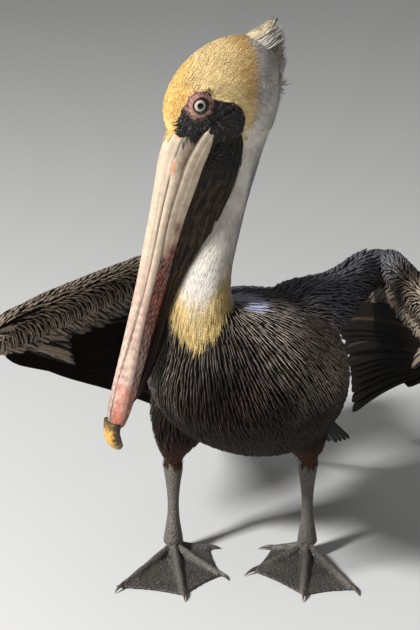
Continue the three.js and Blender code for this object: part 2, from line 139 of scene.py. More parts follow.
TRUNK = Axes(TRUNK_CENTRE, heading(TRUNK_TURN, TRUNK_PITCH), left_of(TRUNK_TURN))
HEAD = Axes(HEAD_CENTRE, heading(HEAD_TURN, 0), left_of(HEAD_TURN))
BILL = Axes(HEAD.at(*BILL_ROOT), heading(HEAD_TURN, -BILL_DROP), left_of(HEAD_TURN))
TAIL = Axes(TRUNK.at(-150, 0, -4), -heading(TRUNK_TURN, TAIL_DROP), left_of(TRUNK_TURN))

# The stance's place in the frame, from the left eye's solid.
_low, _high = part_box("eye_left")
STANCE_AT = (np.array(_low) + np.array(_high)) / 2 - HEAD.at(*EYE_AT) / 1000


def place(points):
    """Stance millimetres to frame metres."""
    return np.asarray(points, float) / 1000 + STANCE_AT


# ---------------------------------------------------------------- numbers


def ramp(x, low, high):
    """0 below low, 1 above high, smooth between."""
    t = np.clip((np.asarray(x, float) - low) / (high - low), 0, 1)
    return t * t * (3 - 2 * t)


def mix(a, b, share):
    return a + (b - a) * share


def spline(stations, t):
    """A uniform Catmull-Rom curve through rows of numbers, its end slopes kept straight, at t from 0 to
    1."""
    p = np.asarray(stations, float)
    p = np.vstack([2 * p[0] - p[1], p, 2 * p[-1] - p[-2]])
    place_on = np.clip(np.asarray(t, float), 0, 1) * (len(p) - 3)
    k = np.minimum(place_on.astype(int), len(p) - 4)
    s = (place_on - k)[..., None]
    a, b, c, d = p[k], p[k + 1], p[k + 2], p[k + 3]
    return 0.5 * (2 * b + (c - a) * s + (2 * a - 5 * b + 4 * c - d) * s**2 + (3 * b - a - 3 * c + d) * s**3)


def opening(t, start, end):
    """How far a round end has opened at t, over a share of the length at each end."""
    a = np.minimum(1, t / start) if start else np.ones_like(t)
    b = np.minimum(1, (1 - t) / end) if end else np.ones_like(t)
    return np.sqrt(np.clip(1 - (1 - a) ** 2, 0, 1)) * np.sqrt(np.clip(1 - (1 - b) ** 2, 0, 1))


def wobble(points, size, seed=0):
    """A smooth random-looking value from -1 to 1 at each point: five crossed sine waves about size
    apart."""
    rng = np.random.default_rng(seed)
    value = np.zeros(np.shape(points)[:-1])
    for _ in range(5):
        wave = unit(rng.normal(size=3)) * 2 * math.pi / (size * rng.uniform(0.6, 1.6))
        value += np.sin(points @ wave + rng.uniform(0, 6.3)) / 5
    return value * 1.6


def colour(*rgb):
    """A colour written as screen values, turned into the linear values that shaders use."""
    c = np.array(rgb, float)
    return np.where(c <= 0.04045, c / 12.92, ((c + 0.055) / 1.055) ** 2.4)


# ---------------------------------------------------------------- settings


def span(label, description, default):
    """A length that a user may change, in metres."""
    return FloatProperty(name=label, description=description, default=default, min=0.0001, unit="LENGTH")


def dye(label, description, *rgb):
    """A colour that a user may change, from screen values."""
    return FloatVectorProperty(
        name=label, description=description, default=tuple(colour(*rgb)), subtype="COLOR",
        size=3, min=0, max=1
    )


class PelicanSizes(PropertyGroup):
    """Sizes of the mesh, the coat and the eyes."""

    body_voxel: span("Body voxel", "Mesh size of the skin under the body feathers", 0.0044)
    head_voxel: span("Head voxel", "Mesh size of the head's skin", 0.00135)
    leg_voxel: span("Leg voxel", "Mesh size of the legs and the webs", 0.00145)
    coat_depth: span("Coat depth", "How far the body's skin lies under the feathers' tips", 0.0045)
    head_depth: span("Head coat depth", "How far the head's skin lies under its feathers' tips", 0.0026)
    body_feather: span("Body feather", "Length of a breast feather", 0.025)
    body_gap: span("Body feather gap", "Distance between breast feathers' roots", 0.0026)
    neck_feather: span("Neck feather", "Length of a neck feather", 0.018)
    neck_gap: span("Neck feather gap", "Distance between neck feathers' roots", 0.0026)
    head_feather: span("Head feather", "Length of a crown feather", 0.015)
    head_gap: span("Head feather gap", "Distance between crown feathers' roots", 0.0010)
    wing_feather: span("Wing covert", "Length of a lesser wing covert", 0.022)
    wing_gap: span("Wing covert gap", "Distance between lesser wing coverts' roots", 0.0037)
    pupil: span("Pupil", "Radius of the pupil", 0.0029)
    iris: span("Iris", "Radius of the pale iris", 0.0057)
    fold: span("Pouch fold", "Depth of the folds along the pouch", 0.0007)


class PelicanColours(PropertyGroup):
    """Colours of the plumage and the bare parts."""

    crown: dye("Crown", "Front of the head", 0.97, 0.85, 0.61)
    crown_pale: dye("Forehead", "Forehead and round the bill", 0.97, 0.79, 0.48)
    # Partly painted shade: the gold of the back of the head, made darker as if in shade.
    crown_gold_and_shade: dye("Rear crown", "Back of the head", 0.86, 0.68, 0.40)
    white: dye("Neck white", "Nape and neck", 0.92, 0.89, 0.845)
    # Painted shade: the grey that darkens the white neck towards its back and on the nape.
    painted_neck_shade: dye("Neck shade", "Back of the neck", 0.56, 0.54, 0.58)
    yellow: dye("Neck patch", "Foot of the foreneck", 0.97, 0.84, 0.57)
    # Painted shade: the bluish grey of white feathers in shade, for the patch beside the neck's foot.
    shaded_white_patch: dye("Side patch", "Pale patch beside the neck's foot", 0.76, 0.77, 0.86)
    breast: dye("Breast", "Breast feathers' edges", 0.06, 0.047, 0.041)
    breast_dark: dye("Upper breast", "Feathers round the neck's foot", 0.045, 0.033, 0.028)
    # Partly painted shade: the belly's own blackish brown, made darker for the shade under the body.
    belly_and_shade: dye("Belly", "Belly feathers", 0.05, 0.03, 0.024)
    silver: dye("Breast streak", "Streak along a breast feather", 0.84, 0.77, 0.70)
    mantle: dye("Mantle", "Back feathers' edges", 0.145, 0.145, 0.163)
    mantle_silver: dye("Mantle streak", "Streak along a back feather", 0.58, 0.58, 0.62)
    covert: dye("Covert", "Wing coverts' edges", 0.06, 0.05, 0.044)
    covert_silver: dye("Covert streak", "Streak along a wing covert", 0.76, 0.68, 0.60)
    flight: dye("Flight feather", "Primaries and secondaries", 0.09, 0.066, 0.053)
    quill: dye("Quill", "Shafts of the flight feathers", 0.26, 0.21, 0.17)
    thigh: dye("Thigh", "Thigh feathers", 0.36, 0.24, 0.18)
    face: dye("Face", "Bare skin of the face and the pouch", 0.068, 0.059, 0.054)
    orbit: dye("Eye skin", "Bare skin round the eye", 0.70, 0.50, 0.47)
    lid: dye("Lid fold", "Pale fold under the eye", 0.80, 0.69, 0.60)
    iris: dye("Iris", "Ring round the pupil", 0.80, 0.77, 0.72)
    ivory: dye("Bill", "Most of the bill", 0.78, 0.71, 0.615)
    blush: dye("Bill blush", "Pink parts of the bill", 0.82, 0.66, 0.60)
    coral: dye("Bill red", "Sides of the bill near its tip", 0.74, 0.36, 0.27)
    slate: dye("Bill dark", "Grooves and blotches of the bill", 0.17, 0.13, 0.13)
    orange: dye("Nostril streak", "Streak in the bill's groove", 0.86, 0.42, 0.16)
    nail: dye("Nail", "Hook at the bill's tip", 0.85, 0.66, 0.30)
    leg: dye("Leg", "Legs and webs", 0.31, 0.285, 0.265)
    claw: dye("Claw", "Claws", 0.38, 0.34, 0.30)
    floor: dye("Floor", "Floor of the stage", 0.86, 0.86, 0.855)


def hue(key):
    return np.array(getattr(bpy.context.scene.pelican_colours, key))


def size(key):
    """A size in millimetres."""
    return getattr(bpy.context.scene.pelican_sizes, key) * 1000


# ---------------------------------------------------------------- forms


class Loft:
    """A closed form round a curved line: the point at t and angle is the line's middle at t, plus its
    side axis times the half width times cos(angle), plus its up axis times the half height (above or
    below) times sin(angle). The ends round off. inset moves the surface inwards."""

    COUNT = 161

    def __init__(self, middles, sizes, reference, ends, axes=None):
        t = np.linspace(0, 1, self.COUNT)
        self.middle = spline(middles, t)
        self.sizes = spline(sizes, t)
        self.ends = ends
        along = unit(np.gradient(self.middle, axis=0))
        up = unit(np.asarray(reference) - along * (along @ np.asarray(reference, float))[:, None])
        self.up = up if axes is None else np.broadcast_to(axes[1], up.shape)
        self.side = np.cross(along, up) if axes is None else np.broadcast_to(axes[0], up.shape)

    def look_up(self, table, t):
        at = np.clip(t, 0, 1) * (self.COUNT - 1)
        k = np.minimum(at.astype(int), self.COUNT - 2)
        s = (at - k)[..., None]
        return table[k] * (1 - s) + table[k + 1] * s

    def __call__(self, t, angle, inset=0.0):
        width, above, below = np.moveaxis(self.look_up(self.sizes, t), -1, 0)
        size = opening(t, *self.ends)
        height = np.where(np.sin(angle) > 0, above, below)
        across = np.maximum(width * size - inset, 0.3) * np.cos(angle)
        rise = np.maximum(height * size - inset, 0.3) * np.sin(angle)
        middle, side, up = (self.look_up(x, t) for x in (self.middle, self.side, self.up))
        return middle + side * across[..., None] + up * rise[..., None]


def limb(stations, reference, ends):
    """A loft from rows of x, y, z, half width, half depth."""
    s = np.asarray(stations, float)
    return Loft(s[:, :3], s[:, [3, 4, 4]], reference, ends)


TRUNK_STATIONS = np.array([
    [-172, -2, 32, 20, 24], [-122, -2, 62, 48, 52], [-66, 0, 88, 78, 80], [-8, 2, 101, 90, 90],
    [52, 2, 103.5, 84, 92], [104, 0, 95, 72, 88], [146, -4, 78, 58, 74], [176, -8, 52, 42, 52],
])
NECK_STATIONS = [
    [-30, -88, 250, 50, 50], [-45, -122, 300, 40, 38], [-44, -116, 350, 30, 30], [-27, -92, 412, 26, 27],
    [-10, -84, 470, 25, 27], [3, -92, 524, 27, 30], [6, -100, 570, 22, 26],
]
THIGH_STATIONS = ((-18, -10, 200, 40, 44), (-9, -2, 160, 34, 38), (-2, 8, 128, 21, 23), (0, 13, 104, 13, 14))
TARSUS_STATIONS = (
    (0, 14, 112, 9, 10), (0, 17, 95, 10.6, 11.5), (0, 14, 79, 8.2, 9.4), (0, 10, 60, 6.3, 8),
    (0, 6, 42, 6.8, 8.8), (0, 1, 26, 9.5, 11), (0, -2, 10, 12, 13),
)
WINGS = {
    "left": {
        "shoulder": (34, -72, 283), "elbow": (159, 140, 293),
        "wrist": (204, -145, 293), "tip": (138, 265, 61),
        "first": (176, 33, 190), "last": (106, 288, 189),
    },
    "right": {
        "shoulder": (-50, -38, 284), "elbow": (-87, 180, 276),
        "wrist": (-257, -60, 269), "tip": (-61, 295, 50),
        "first": (-171, 100, 178), "last": (-30, 322, 178),
    },
}
UPPER_ARM = ((0, 44, 44, 6), (0.25, 36, 38, -1), (0.5, 27, 32, -6), (0.75, 20, 27, 0), (1, 17, 23, -1))
FOREARM = ((0, 17, 23, 0), (0.25, 18, 24, 2), (0.5, 18, 25, 3), (0.75, 18, 26, 2), (1.04, 15, 24, -2))


def arm(start, end, shape, ends):
    """A limb between two joints, from rows of share of the way, half width, half depth and rise."""
    s = np.array(shape)
    middles = mix(np.array(start, float), np.array(end, float), s[:, :1]) + [[0, 0, rise] for rise in s[:, 3]]
    return Loft(middles, s[:, [1, 2, 2]], (0, 0, 1), ends)


def leg(stations, side, ends):
    rows = [[SIGN[side] * (STANCE[side] + out), *rest] for out, *rest in stations]
    return limb(rows, (0, -1, 0), ends)


def skull(t, angle, inset=0.0):
    """A tilted oval ball from the nape (t = 0) to the bill (t = 1), fuller at the cheeks than at the
    crown."""
    tilt = math.radians(SKULL_TILT)
    x = -np.cos(math.pi * t)
    y = np.sin(math.pi * t) * np.cos(angle)
    z = np.sin(math.pi * t) * np.sin(angle)
    fuller = 1 - 0.1 * z - 0.06 * x
    f = x * (SKULL_LENGTH - inset)
    h = z * (SKULL_HEIGHT - inset)
    aside = np.sign(y) * np.abs(y) ** 0.86 * (SKULL_WIDTH * fuller - inset)
    ahead = SKULL_AT[0] + math.cos(tilt) * f + math.sin(tilt) * h
    above = SKULL_AT[1] - math.sin(tilt) * f + math.cos(tilt) * h
    return HEAD.at(ahead, aside, above)


trunk = Loft(
    TRUNK.at(TRUNK_STATIONS[:, 0], 0, TRUNK_STATIONS[:, 1]), TRUNK_STATIONS[:, 2:], (0, 0, 1), (0.1, 0.16),
    axes=(TRUNK.rows[1], TRUNK.rows[2]),
)
neck = limb(NECK_STATIONS, (0, -1, 0.1), (0.05, 0.1))
upper_arm = {s: arm(w["shoulder"], w["elbow"], UPPER_ARM, (0.15, 0.12)) for s, w in WINGS.items()}
forearm = {s: arm(w["elbow"], w["wrist"], FOREARM, (0.12, 0.12)) for s, w in WINGS.items()}
thigh = {s: leg(THIGH_STATIONS, s, (0.1, 0.06)) for s in SIGN}
tarsus = {s: leg(TARSUS_STATIONS, s, (0.02, 0.08)) for s in SIGN}


def rings(form, rows, columns, inset=0.0, low=0.0, high=1.0):
    """A form's points on a grid of t and angle, closer together towards both ends."""
    t = low + (high - low) * (1 - np.cos(np.pi * (np.arange(rows) + 0.5) / rows)) / 2
    angle = np.arange(columns) * 2 * np.pi / columns
    tt, aa = np.meshgrid(t, angle, indexing="ij")
    return form(tt, aa, inset(tt, aa) if callable(inset) else inset)


def closed(points):
    """A closed surface through rings of points (rings, points round, 3): each ring joins the next, and
    each end closes on its ring's middle. Gives corners and triangles that face outwards."""
    r, c = points.shape[:2]
    corners = np.concatenate([points.reshape(-1, 3), [points[0].mean(0), points[-1].mean(0)]])
    i = np.arange(r * c).reshape(r, c)
    j = np.roll(i, -1, 1)
    start, end = np.full(c, r * c), np.full(c, r * c + 1)
    faces = np.concatenate([
        np.stack([i[:-1], j[:-1], j[1:]], -1).reshape(-1, 3),
        np.stack([i[:-1], j[1:], i[1:]], -1).reshape(-1, 3),
        np.stack([start, j[0], i[0]], 1),
        np.stack([end, i[-1], j[-1]], 1),
    ])
    return corners, outward(corners, faces)


def outward(corners, faces):
    """The same triangles, turned over if they enclose less than nothing."""
    a, b, c = (corners[faces[:, k]] for k in range(3))
    return faces if np.einsum("ij,ij->", a, np.cross(b, c)) > 0 else faces[:, ::-1]


def joined(parts):
    """Several (corners, triangles) as one."""
    starts = np.cumsum([0] + [len(c) for c, _ in parts])
    corners = np.concatenate([c for c, _ in parts])
    return corners, np.concatenate([f + s for (_, f), s in zip(parts, starts)])


# ---------------------------------------------------------------- meshes


def fill(mesh, corners, faces):
    """Puts millimetre corners and triangles into an empty mesh."""
    faces = np.ascontiguousarray(faces, np.int32)
    mesh.vertices.add(len(corners))
    mesh.vertices.foreach_set("co", place(corners).astype(np.float32).ravel())
    mesh.loops.add(faces.size)
    mesh.loops.foreach_set("vertex_index", faces.ravel())
    mesh.polygons.add(len(faces))
    mesh.polygons.foreach_set("loop_start", np.arange(0, faces.size, 3, dtype=np.int32))
    mesh.update(calc_edges=True)
    mesh.validate()
    return mesh


def paint(mesh, name, colours):
    """A colour for each corner, as a named attribute."""
    attribute = mesh.attributes.new(name, "FLOAT_COLOR", "POINT")
    rgba = np.ones((len(mesh.vertices), 4), np.float32)
    rgba[:, :3] = colours
    attribute.data.foreach_set("color", rgba.ravel())


def unwrap(mesh, name, places):
    """A UV map from a place for each corner."""
    layer = mesh.uv_layers.new(name=name)
    index = np.zeros(len(mesh.loops), np.int32)
    mesh.loops.foreach_get("vertex_index", index)
    layer.data.foreach_set("uv", places[index].astype(np.float32).ravel())


def corners_of(mesh):
    """A mesh's corners in stance millimetres."""
    co = np.zeros(len(mesh.vertices) * 3, np.float32)
    mesh.vertices.foreach_get("co", co)
    return (co.reshape(-1, 3) - STANCE_AT) * 1000


def piece(name, mesh, materials, replaced=()):
    """An object for a finished mesh, smooth shaded, riding on the body."""
    mesh.name = name
    o = bpy.data.objects.new(name, mesh)
    bpy.context.scene.collection.objects.link(o)
    for m in materials:
        mesh.materials.append(m)
    mesh.polygons.foreach_set("use_smooth", np.ones(len(mesh.polygons), bool))
    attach(o, BODY)
    if replaced:
        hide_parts(*replaced)
    return o


def solid(name, corners, faces, slot, materials, replaced=(), paints=None, maps=None):
    """A piece straight from corners and triangles, with its colours and UV maps."""
    mesh = fill(bpy.data.meshes.new(name), corners, faces)
    for key, values in (paints or {}).items():
        paint(mesh, key, values)
    for key, values in (maps or {}).items():
        unwrap(mesh, key, values)
    return piece(name, mesh, materials, replaced)


def remeshed(parts, voxel, smoothing):
    """One smooth skin over overlapping closed forms: a voxel remesh, then a few rounds of smoothing.
    Gives its corners in millimetres and its triangles."""
    o = bpy.data.objects.new("mould", fill(bpy.data.meshes.new("mould"), *joined(parts)))
    bpy.context.scene.collection.objects.link(o)
    remesh = o.modifiers.new("remesh", "REMESH")
    remesh.mode = "VOXEL"
    remesh.voxel_size = voxel / 1000
    smooth = o.modifiers.new("smooth", "SMOOTH")
    smooth.factor = 0.5
    smooth.iterations = smoothing
    mesh = bpy.data.meshes.new_from_object(o.evaluated_get(bpy.context.evaluated_depsgraph_get()))
    mesh.calc_loop_triangles()
    faces = np.zeros(len(mesh.loop_triangles) * 3, np.int32)
    mesh.loop_triangles.foreach_get("vertices", faces)
    corners = corners_of(mesh)
    bpy.data.objects.remove(o)
    bpy.data.meshes.remove(mesh)
    return corners, faces.reshape(-1, 3)


def normals_of(corners, faces):
    """The normal at each corner, from the faces round it."""
    a, b, c = (corners[faces[:, k]] for k in range(3))
    face = np.cross(b - a, c - a)
    total = np.zeros_like(corners)
    for k in range(3):
        np.add.at(total, faces[:, k], face)
    return unit(total)


# ---------------------------------------------------------------- materials


class Shader:
    """A material's node tree with its Principled surface, and short ways to add nodes to it."""

    def __init__(self, name, roughness=0.5, **sockets):
        self.material = bpy.data.materials.new(name)
        self.material.use_nodes = True
        self.tree = self.material.node_tree
        self.tree.nodes.clear()
        self.surface = self.tree.nodes.new("ShaderNodeBsdfPrincipled")
        output = self.tree.nodes.new("ShaderNodeOutputMaterial")
        self.tree.links.new(self.surface.outputs["BSDF"], output.inputs["Surface"])
        self.surface.inputs["Roughness"].default_value = roughness
        for key, value in sockets.items():
            self.surface.inputs[key.replace("_", " ")].default_value = value

    def set(self, socket, value):
        """A value, or another node's output, on a socket."""
        if isinstance(value, bpy.types.NodeSocket):
            self.tree.links.new(value, socket)
        elif isinstance(value, np.ndarray):
            socket.default_value = (*value, 1) if socket.type == "RGBA" else tuple(value)
        else:
            socket.default_value = value

    def add(self, kind, *inputs, out=0, **settings):
        """A node of a kind with its settings, its inputs in order or as (name, value)."""
        n = self.tree.nodes.new("ShaderNode" + kind)
        for key, value in settings.items():
            setattr(n, key, value)
        for k, value in enumerate(inputs):
            if isinstance(value, tuple) and isinstance(value[0], str):
                self.set(n.inputs[value[0]], value[1])
            elif value is not None:
                self.set(n.inputs[k], value)
        return n.outputs[out]

    def math(self, operation, *values):
        return self.add("Math", *values, operation=operation)

    def ramp(self, value, low, high, to_low=0.0, to_high=1.0):
        """A smooth step of a value between two levels."""
        return self.add("MapRange", value, low, high, to_low, to_high, interpolation_type="SMOOTHSTEP")

    def blend(self, share, a, b, mode="MIX"):
        """Colour a with colour b over it, by a share."""
        n = self.tree.nodes.new("ShaderNodeMix")
        n.data_type = "RGBA"
        n.blend_type = mode
        self.set(n.inputs["Factor"], share)
        self.set(n.inputs[6], a)
        self.set(n.inputs[7], b)
        return n.outputs[2]

    def attribute(self, name, out="Color"):
        return self.add("Attribute", attribute_name=name, out=out)

    def uv(self, name):
        """The two parts of a UV map."""
        both = self.add("UVMap", uv_map=name)
        return self.add("SeparateXYZ", both), self.add("SeparateXYZ", both, out=1)

    def noise(self, size, detail=3.0, roughness=0.5):
        """Noise about size millimetres across, from 0 to 1."""
        spot = self.add("TexCoord", out="Object")
        return self.add("TexNoise", spot, ("Scale", 1000 / size), ("Detail", detail),
                        ("Roughness", roughness))

    def cells(self, size, feature="DISTANCE_TO_EDGE"):
        spot = self.add("TexCoord", out="Object")
        return self.add("TexVoronoi", spot, ("Scale", 1000 / size), feature=feature)

    def bump(self, height, depth, over=None):
        """Relief of a depth in millimetres, over an earlier one."""
        inputs = [("Strength", 1.0), ("Distance", depth / 1000), ("Height", height)]
        if over is not None:
            inputs.append(("Normal", over))
        return self.add("Bump", *inputs)

    def finish(self, **links):
        for key, value in links.items():
            self.set(self.surface.inputs[key.replace("_", " ")], value)
        return self.material


# ---------------------------------------------------------------- markings

# The bare face's outline on either side of the head, ahead and above in the head's frame.
FACE_OUTLINE = np.array([
    (55, -60), (53, -48), (50.5, -40), (44, -28), (40, -19), (31, -12.6), (23, -11.6), (19.5, -8.5),
    (18.6, -19), (6, -22.8), (-4, -24.4), (-11.5, -31), (-16.5, -42), (-17, -58),
    (-8, -70), (30, -74), (57, -68),
])


# The mouth's line, which runs on over the head's skin behind the bill.
MOUTH = np.array([(-4, -31), (6, -34.5), (14.4, -40.6), (22.6, -49.6), (29.4, -59), (40, -74)])


def beside_line(line, x, y):
    """Distance from an open line of straight parts."""
    a, b = line[:-1], line[1:]
    p = np.stack([x, y], -1)[..., None, :]
    share = np.clip(((p - a) * (b - a)).sum(-1) / ((b - a) ** 2).sum(-1), 0, 1)
    return np.linalg.norm(p - a - share[..., None] * (b - a), axis=-1).min(-1)


def outside(outline, x, y):
    """Distance from a closed outline, less than nothing inside it."""
    a = outline
    b = np.roll(outline, -1, 0)
    p = np.stack([x, y], -1)[..., None, :]
    edge = b - a
    share = np.clip(((p - a) * edge).sum(-1) / (edge**2).sum(-1), 0, 1)
    distance = np.linalg.norm(p - a - share[..., None] * edge, axis=-1).min(-1)
    below = p[..., 1] < a[:, 1]
    crosses = below != (p[..., 1] < b[:, 1])
    reach = a[:, 0] + (p[..., 1] - a[:, 1]) / np.where(edge[:, 1] == 0, 1e-9, edge[:, 1]) * edge[:, 0]
    inside = (crosses & (p[..., 0] < reach)).sum(-1) % 2 == 1
    return np.where(inside, -distance, distance)


def bareness(points):
    """1 on the bare face, 0 on feathers."""
    ahead, aside, above = HEAD.of(points).T
    fringe = ramp(np.abs(aside) + 1.5 * wobble(points, 7, 2), 8.5, 10)
    return (1 - ramp(outside(FACE_OUTLINE, ahead, above), -0.6, 0.6)) * mix(1, fringe, ramp(ahead, 34, 38))


def all_over(name, places):
    """A named colour at every place."""
    return np.broadcast_to(hue(name), places.shape)


def layer(under, over, share):
    return mix(under, over, np.asarray(share)[:, None])


def neck_hem(points):
    """The height of the neck coat's lower edge, a V whose point hangs in front, how far each point faces
    the front, and its distance from the neck's line."""
    rows = np.array(NECK_STATIONS)
    line = np.stack([np.interp(points[:, 2], rows[:, 2], rows[:, k]) for k in (0, 1)], 1)
    front = unit(points[:, :2] - line) @ np.array([-0.12, -0.993])
    hem = 324 + 10 * np.clip(0.4 - front, 0, 1) - 33 * (np.clip(front - 0.4, 0, 1) / 0.6) ** 2.2
    hem = hem + 3 * wobble(points * (1, 1, 0.2), 12, 5)
    return hem, front, np.linalg.norm(points[:, :2] - line, axis=1)


def pale_patch(points):
    """1 in the long pale patch on the left of the neck's foot."""
    low_end, high_end = np.array([9.0, -121, 318]), np.array([-3.0, -94, 327])
    share = np.clip((points - low_end) @ (high_end - low_end) / ((high_end - low_end) ** 2).sum(),
                    0, 1)[:, None]
    return 1 - ramp(np.linalg.norm(points - mix(low_end, high_end, share), axis=1), 11.5, 14)


def markings(points):
    """The plumage's ground colour and streak colour at each point, and how strong the streaks are. The
    head is cream and gold, its gold darker towards the back with painted shade; the nape and neck are white,
    greyed towards the back with painted shade; the foot of the neck is yellow, with a pale patch beside it
    painted in the bluish grey of white in shade; the breast is dark brown, the belly darker still and
    deepened low in the middle with painted shade; the back and the wings are silvery grey."""
    ahead, _, above = HEAD.of(points).T
    along, out, up = TRUNK.of(points).T
    height = points[:, 2]
    spots = wobble(points, 28, 3)
    fine = wobble(points, 9, 4)
    # body
    back = ramp(up - 0.15 * along, 20, 70)
    # The belly's own dark brown, deepened low down and towards the middle as painted shade.
    belly_and_shade = 1 - ramp(height + 8 * spots + 0.8 * np.abs(out - 15), 252, 325)
    ground = layer(all_over("breast", points), hue("belly_and_shade"), belly_and_shade)
    streak = layer(all_over("silver", points), colour(0.38, 0.26, 0.20), 0.9 * belly_and_shade)
    strength = 1 - 0.6 * belly_and_shade + 0.08 * spots
    throat = np.linalg.norm(points - (-38, -160, 285), axis=1)
    shade = 1 - ramp(throat, 28, 70)
    ground = layer(ground, hue("breast_dark"), shade)
    strength = strength * (1 - 0.65 * shade)
    ground = layer(ground, hue("mantle"), back)
    streak = layer(streak, hue("mantle_silver"), back)
    strength = mix(strength, 0.8, back)
    # wings
    wing = ramp(np.maximum(points[:, 0] - 38, -points[:, 0]), 97, 122) * ramp(height, 150, 190)
    wing = wing * (1 - 0.85 * (points[:, 0] > 0) * ramp(points[:, 1], 10, 80) * ramp(height, 285, 300))
    elbow = ramp(points[:, 1], 70, 120) * ramp(np.abs(points[:, 0] - 25), 62, 80)
    wing = np.maximum(wing, elbow * (1 - 0.8 * (points[:, 0] > 0) * ramp(height, 280, 300)))
    ground = layer(ground, hue("covert"), wing)
    streak = layer(streak, hue("covert_silver"), wing)
    strength = mix(strength, 0.92, wing)
    # thighs
    low = 1 - ramp(height, 118, 150)
    ground = layer(ground, hue("thigh"), low * 0.7)
    strength = strength * (1 - 0.5 * low)
    # pale patch beside the neck: white feathers, painted in the bluish grey of their shade
    patch = pale_patch(points)
    ground = layer(ground, hue("shaded_white_patch"), patch)
    streak = layer(streak, hue("shaded_white_patch"), patch)
    strength = strength * (1 - patch)
    # neck: its own line's place at each height
    hem, front, reach = neck_hem(points)
    on_neck = ramp(height, hem + 4, hem + 12) * (1 - ramp(reach, 46, 52))
    gold = 1 - ramp(height - hem + 7 * spots, 20, 58)
    # The neck's white, greyed towards its back with painted shade.
    pale = layer(all_over("white", points), hue("painted_neck_shade"), 0.95 * ramp(-front + 0.3 * spots, -0.75, 0.15))
    plume = layer(pale, hue("yellow"), gold * ramp(front, 0.15, 0.5))
    ground = layer(ground, plume, on_neck)
    streak = layer(streak, plume, on_neck)
    strength = strength * (1 - on_neck)
    # head
    top = layer(all_over("crown", points), hue("crown_pale"), ramp(ahead - 0.4 * above + 10 * spots, 18, 52))
    # The rear crown's gold, darker towards the back: partly its own gold, partly painted shade.
    top = layer(top, hue("crown_gold_and_shade"), ramp(-ahead + 0.3 * above + 8 * spots + 5 * fine, 2, 30) * 0.8)
    # The nape's white on the head, a quarter of it the painted neck shade.
    top = layer(top, mix(hue("white"), hue("painted_neck_shade"), 0.25), ramp(-ahead + 2 * fine + 2 * spots, 24, 30))
    on_head = ramp(height - 0.45 * ahead, 505, 520) * (reach < 120)
    on_head = np.maximum(on_head, ramp(ahead, -26, -22) * ramp(height + 3 * fine, 464, 476))
    ground = layer(ground, top, on_head)
    streak = layer(streak, top, on_head)
    strength = strength * (1 - on_head)
    return ground, streak, np.clip(strength, 0, 1)


def feather_material(name, roughness, streak_width, barbs, shine=0.12):
    """Vanes of a ground colour with a paler streak along the shaft; barbs run slanting from the shaft."""
    s = Shader(name, roughness, Specular_IOR_Level=shine)
    across, along = s.uv("vane")
    off = s.math("ABSOLUTE", s.math("MULTIPLY_ADD", across, 2.0, -1.0))
    ragged = s.math("MULTIPLY_ADD", s.noise(3.0, 2.0), 0.35, -0.17)
    edge = s.math("ADD", off, ragged)
    shaft = s.ramp(edge, streak_width * 0.35, streak_width, 1.0, 0.0)
    fade = s.ramp(along, 0.86, 1.0, 1.0, 0.55)
    share = s.math("MULTIPLY", s.math("MULTIPLY", shaft, fade), s.attribute("silver", "Fac"))
    tone = s.blend(share, s.attribute("ground"), s.attribute("streak"))
    cloud = s.ramp(s.noise(18.0, 2.0), 0.3, 0.7, 0.86, 1.1)
    tone = s.blend(1.0, tone, s.add("CombineColor", cloud, cloud, cloud), "MULTIPLY")
    slant = s.math("ADD", s.math("MULTIPLY", along, barbs), s.math("MULTIPLY", off, -barbs * 0.12))
    lines = s.math("SINE", s.math("MULTIPLY", slant, 6.283))
    normal = s.bump(lines, 0.12)
    quill = s.ramp(off, 0.0, 0.09, 1.0, 0.0)
    normal = s.bump(quill, 0.3, normal)
    return s.finish(Base_Color=tone, Normal=normal)


def skin_materials():
    """Feathered skin, bare face and scaled legs."""
    under = Shader("skin_under_feathers", 0.85)
    cloud = under.ramp(under.noise(6.0), 0.3, 0.7, 0.7, 1.1)
    tone = under.blend(1.0, under.attribute("tone"), under.add("CombineColor", cloud, cloud, cloud),
                       "MULTIPLY")
    under.finish(Base_Color=tone, Normal=under.bump(under.noise(2.0), 0.6))

    bare = Shader("bare_face", 0.5, Specular_IOR_Level=0.35)
    warts = bare.ramp(bare.cells(2.1, "F1"), 0.1, 0.75, 1.0, 0.0)
    grain = bare.noise(0.9, 3.0)
    # Pale flecks on the warts' tops: painted highlights.
    wart_highlight = bare.math("MULTIPLY", bare.ramp(bare.noise(5.0, 4.0), 0.42, 0.68), bare.ramp(warts, 0.4, 0.95))
    tone = bare.blend(bare.math("MULTIPLY", wart_highlight, 0.7), bare.attribute("tone"), colour(0.50, 0.45, 0.41))
    rough = bare.ramp(bare.noise(4.0), 0.3, 0.7, 0.38, 0.62)
    relief = bare.bump(grain, 0.25, bare.bump(warts, 0.7))
    bare.finish(Base_Color=tone, Roughness=rough, Normal=relief)

    legs = Shader("scaled_leg", 0.55, Coat_Weight=0.08, Coat_Roughness=0.3)
    net = legs.cells(2.7)
    line = legs.ramp(net, 0.02, 0.16, 1.0, 0.0)
    fine = legs.ramp(legs.noise(1.2), 0.3, 0.7, 0.8, 1.2)
    tone = legs.blend(legs.math("MULTIPLY", line, 0.6), legs.attribute("tone"), colour(0.47, 0.45, 0.42))
    tone = legs.blend(1.0, tone, legs.add("CombineColor", fine, fine, fine), "MULTIPLY")
    height = legs.ramp(net, 0.0, 0.3)
    legs.finish(Base_Color=tone, Normal=legs.bump(legs.noise(0.7), 0.15, legs.bump(height, 0.5)))
    return [under.material, bare.material, legs.material]


# ---------------------------------------------------------------- skin


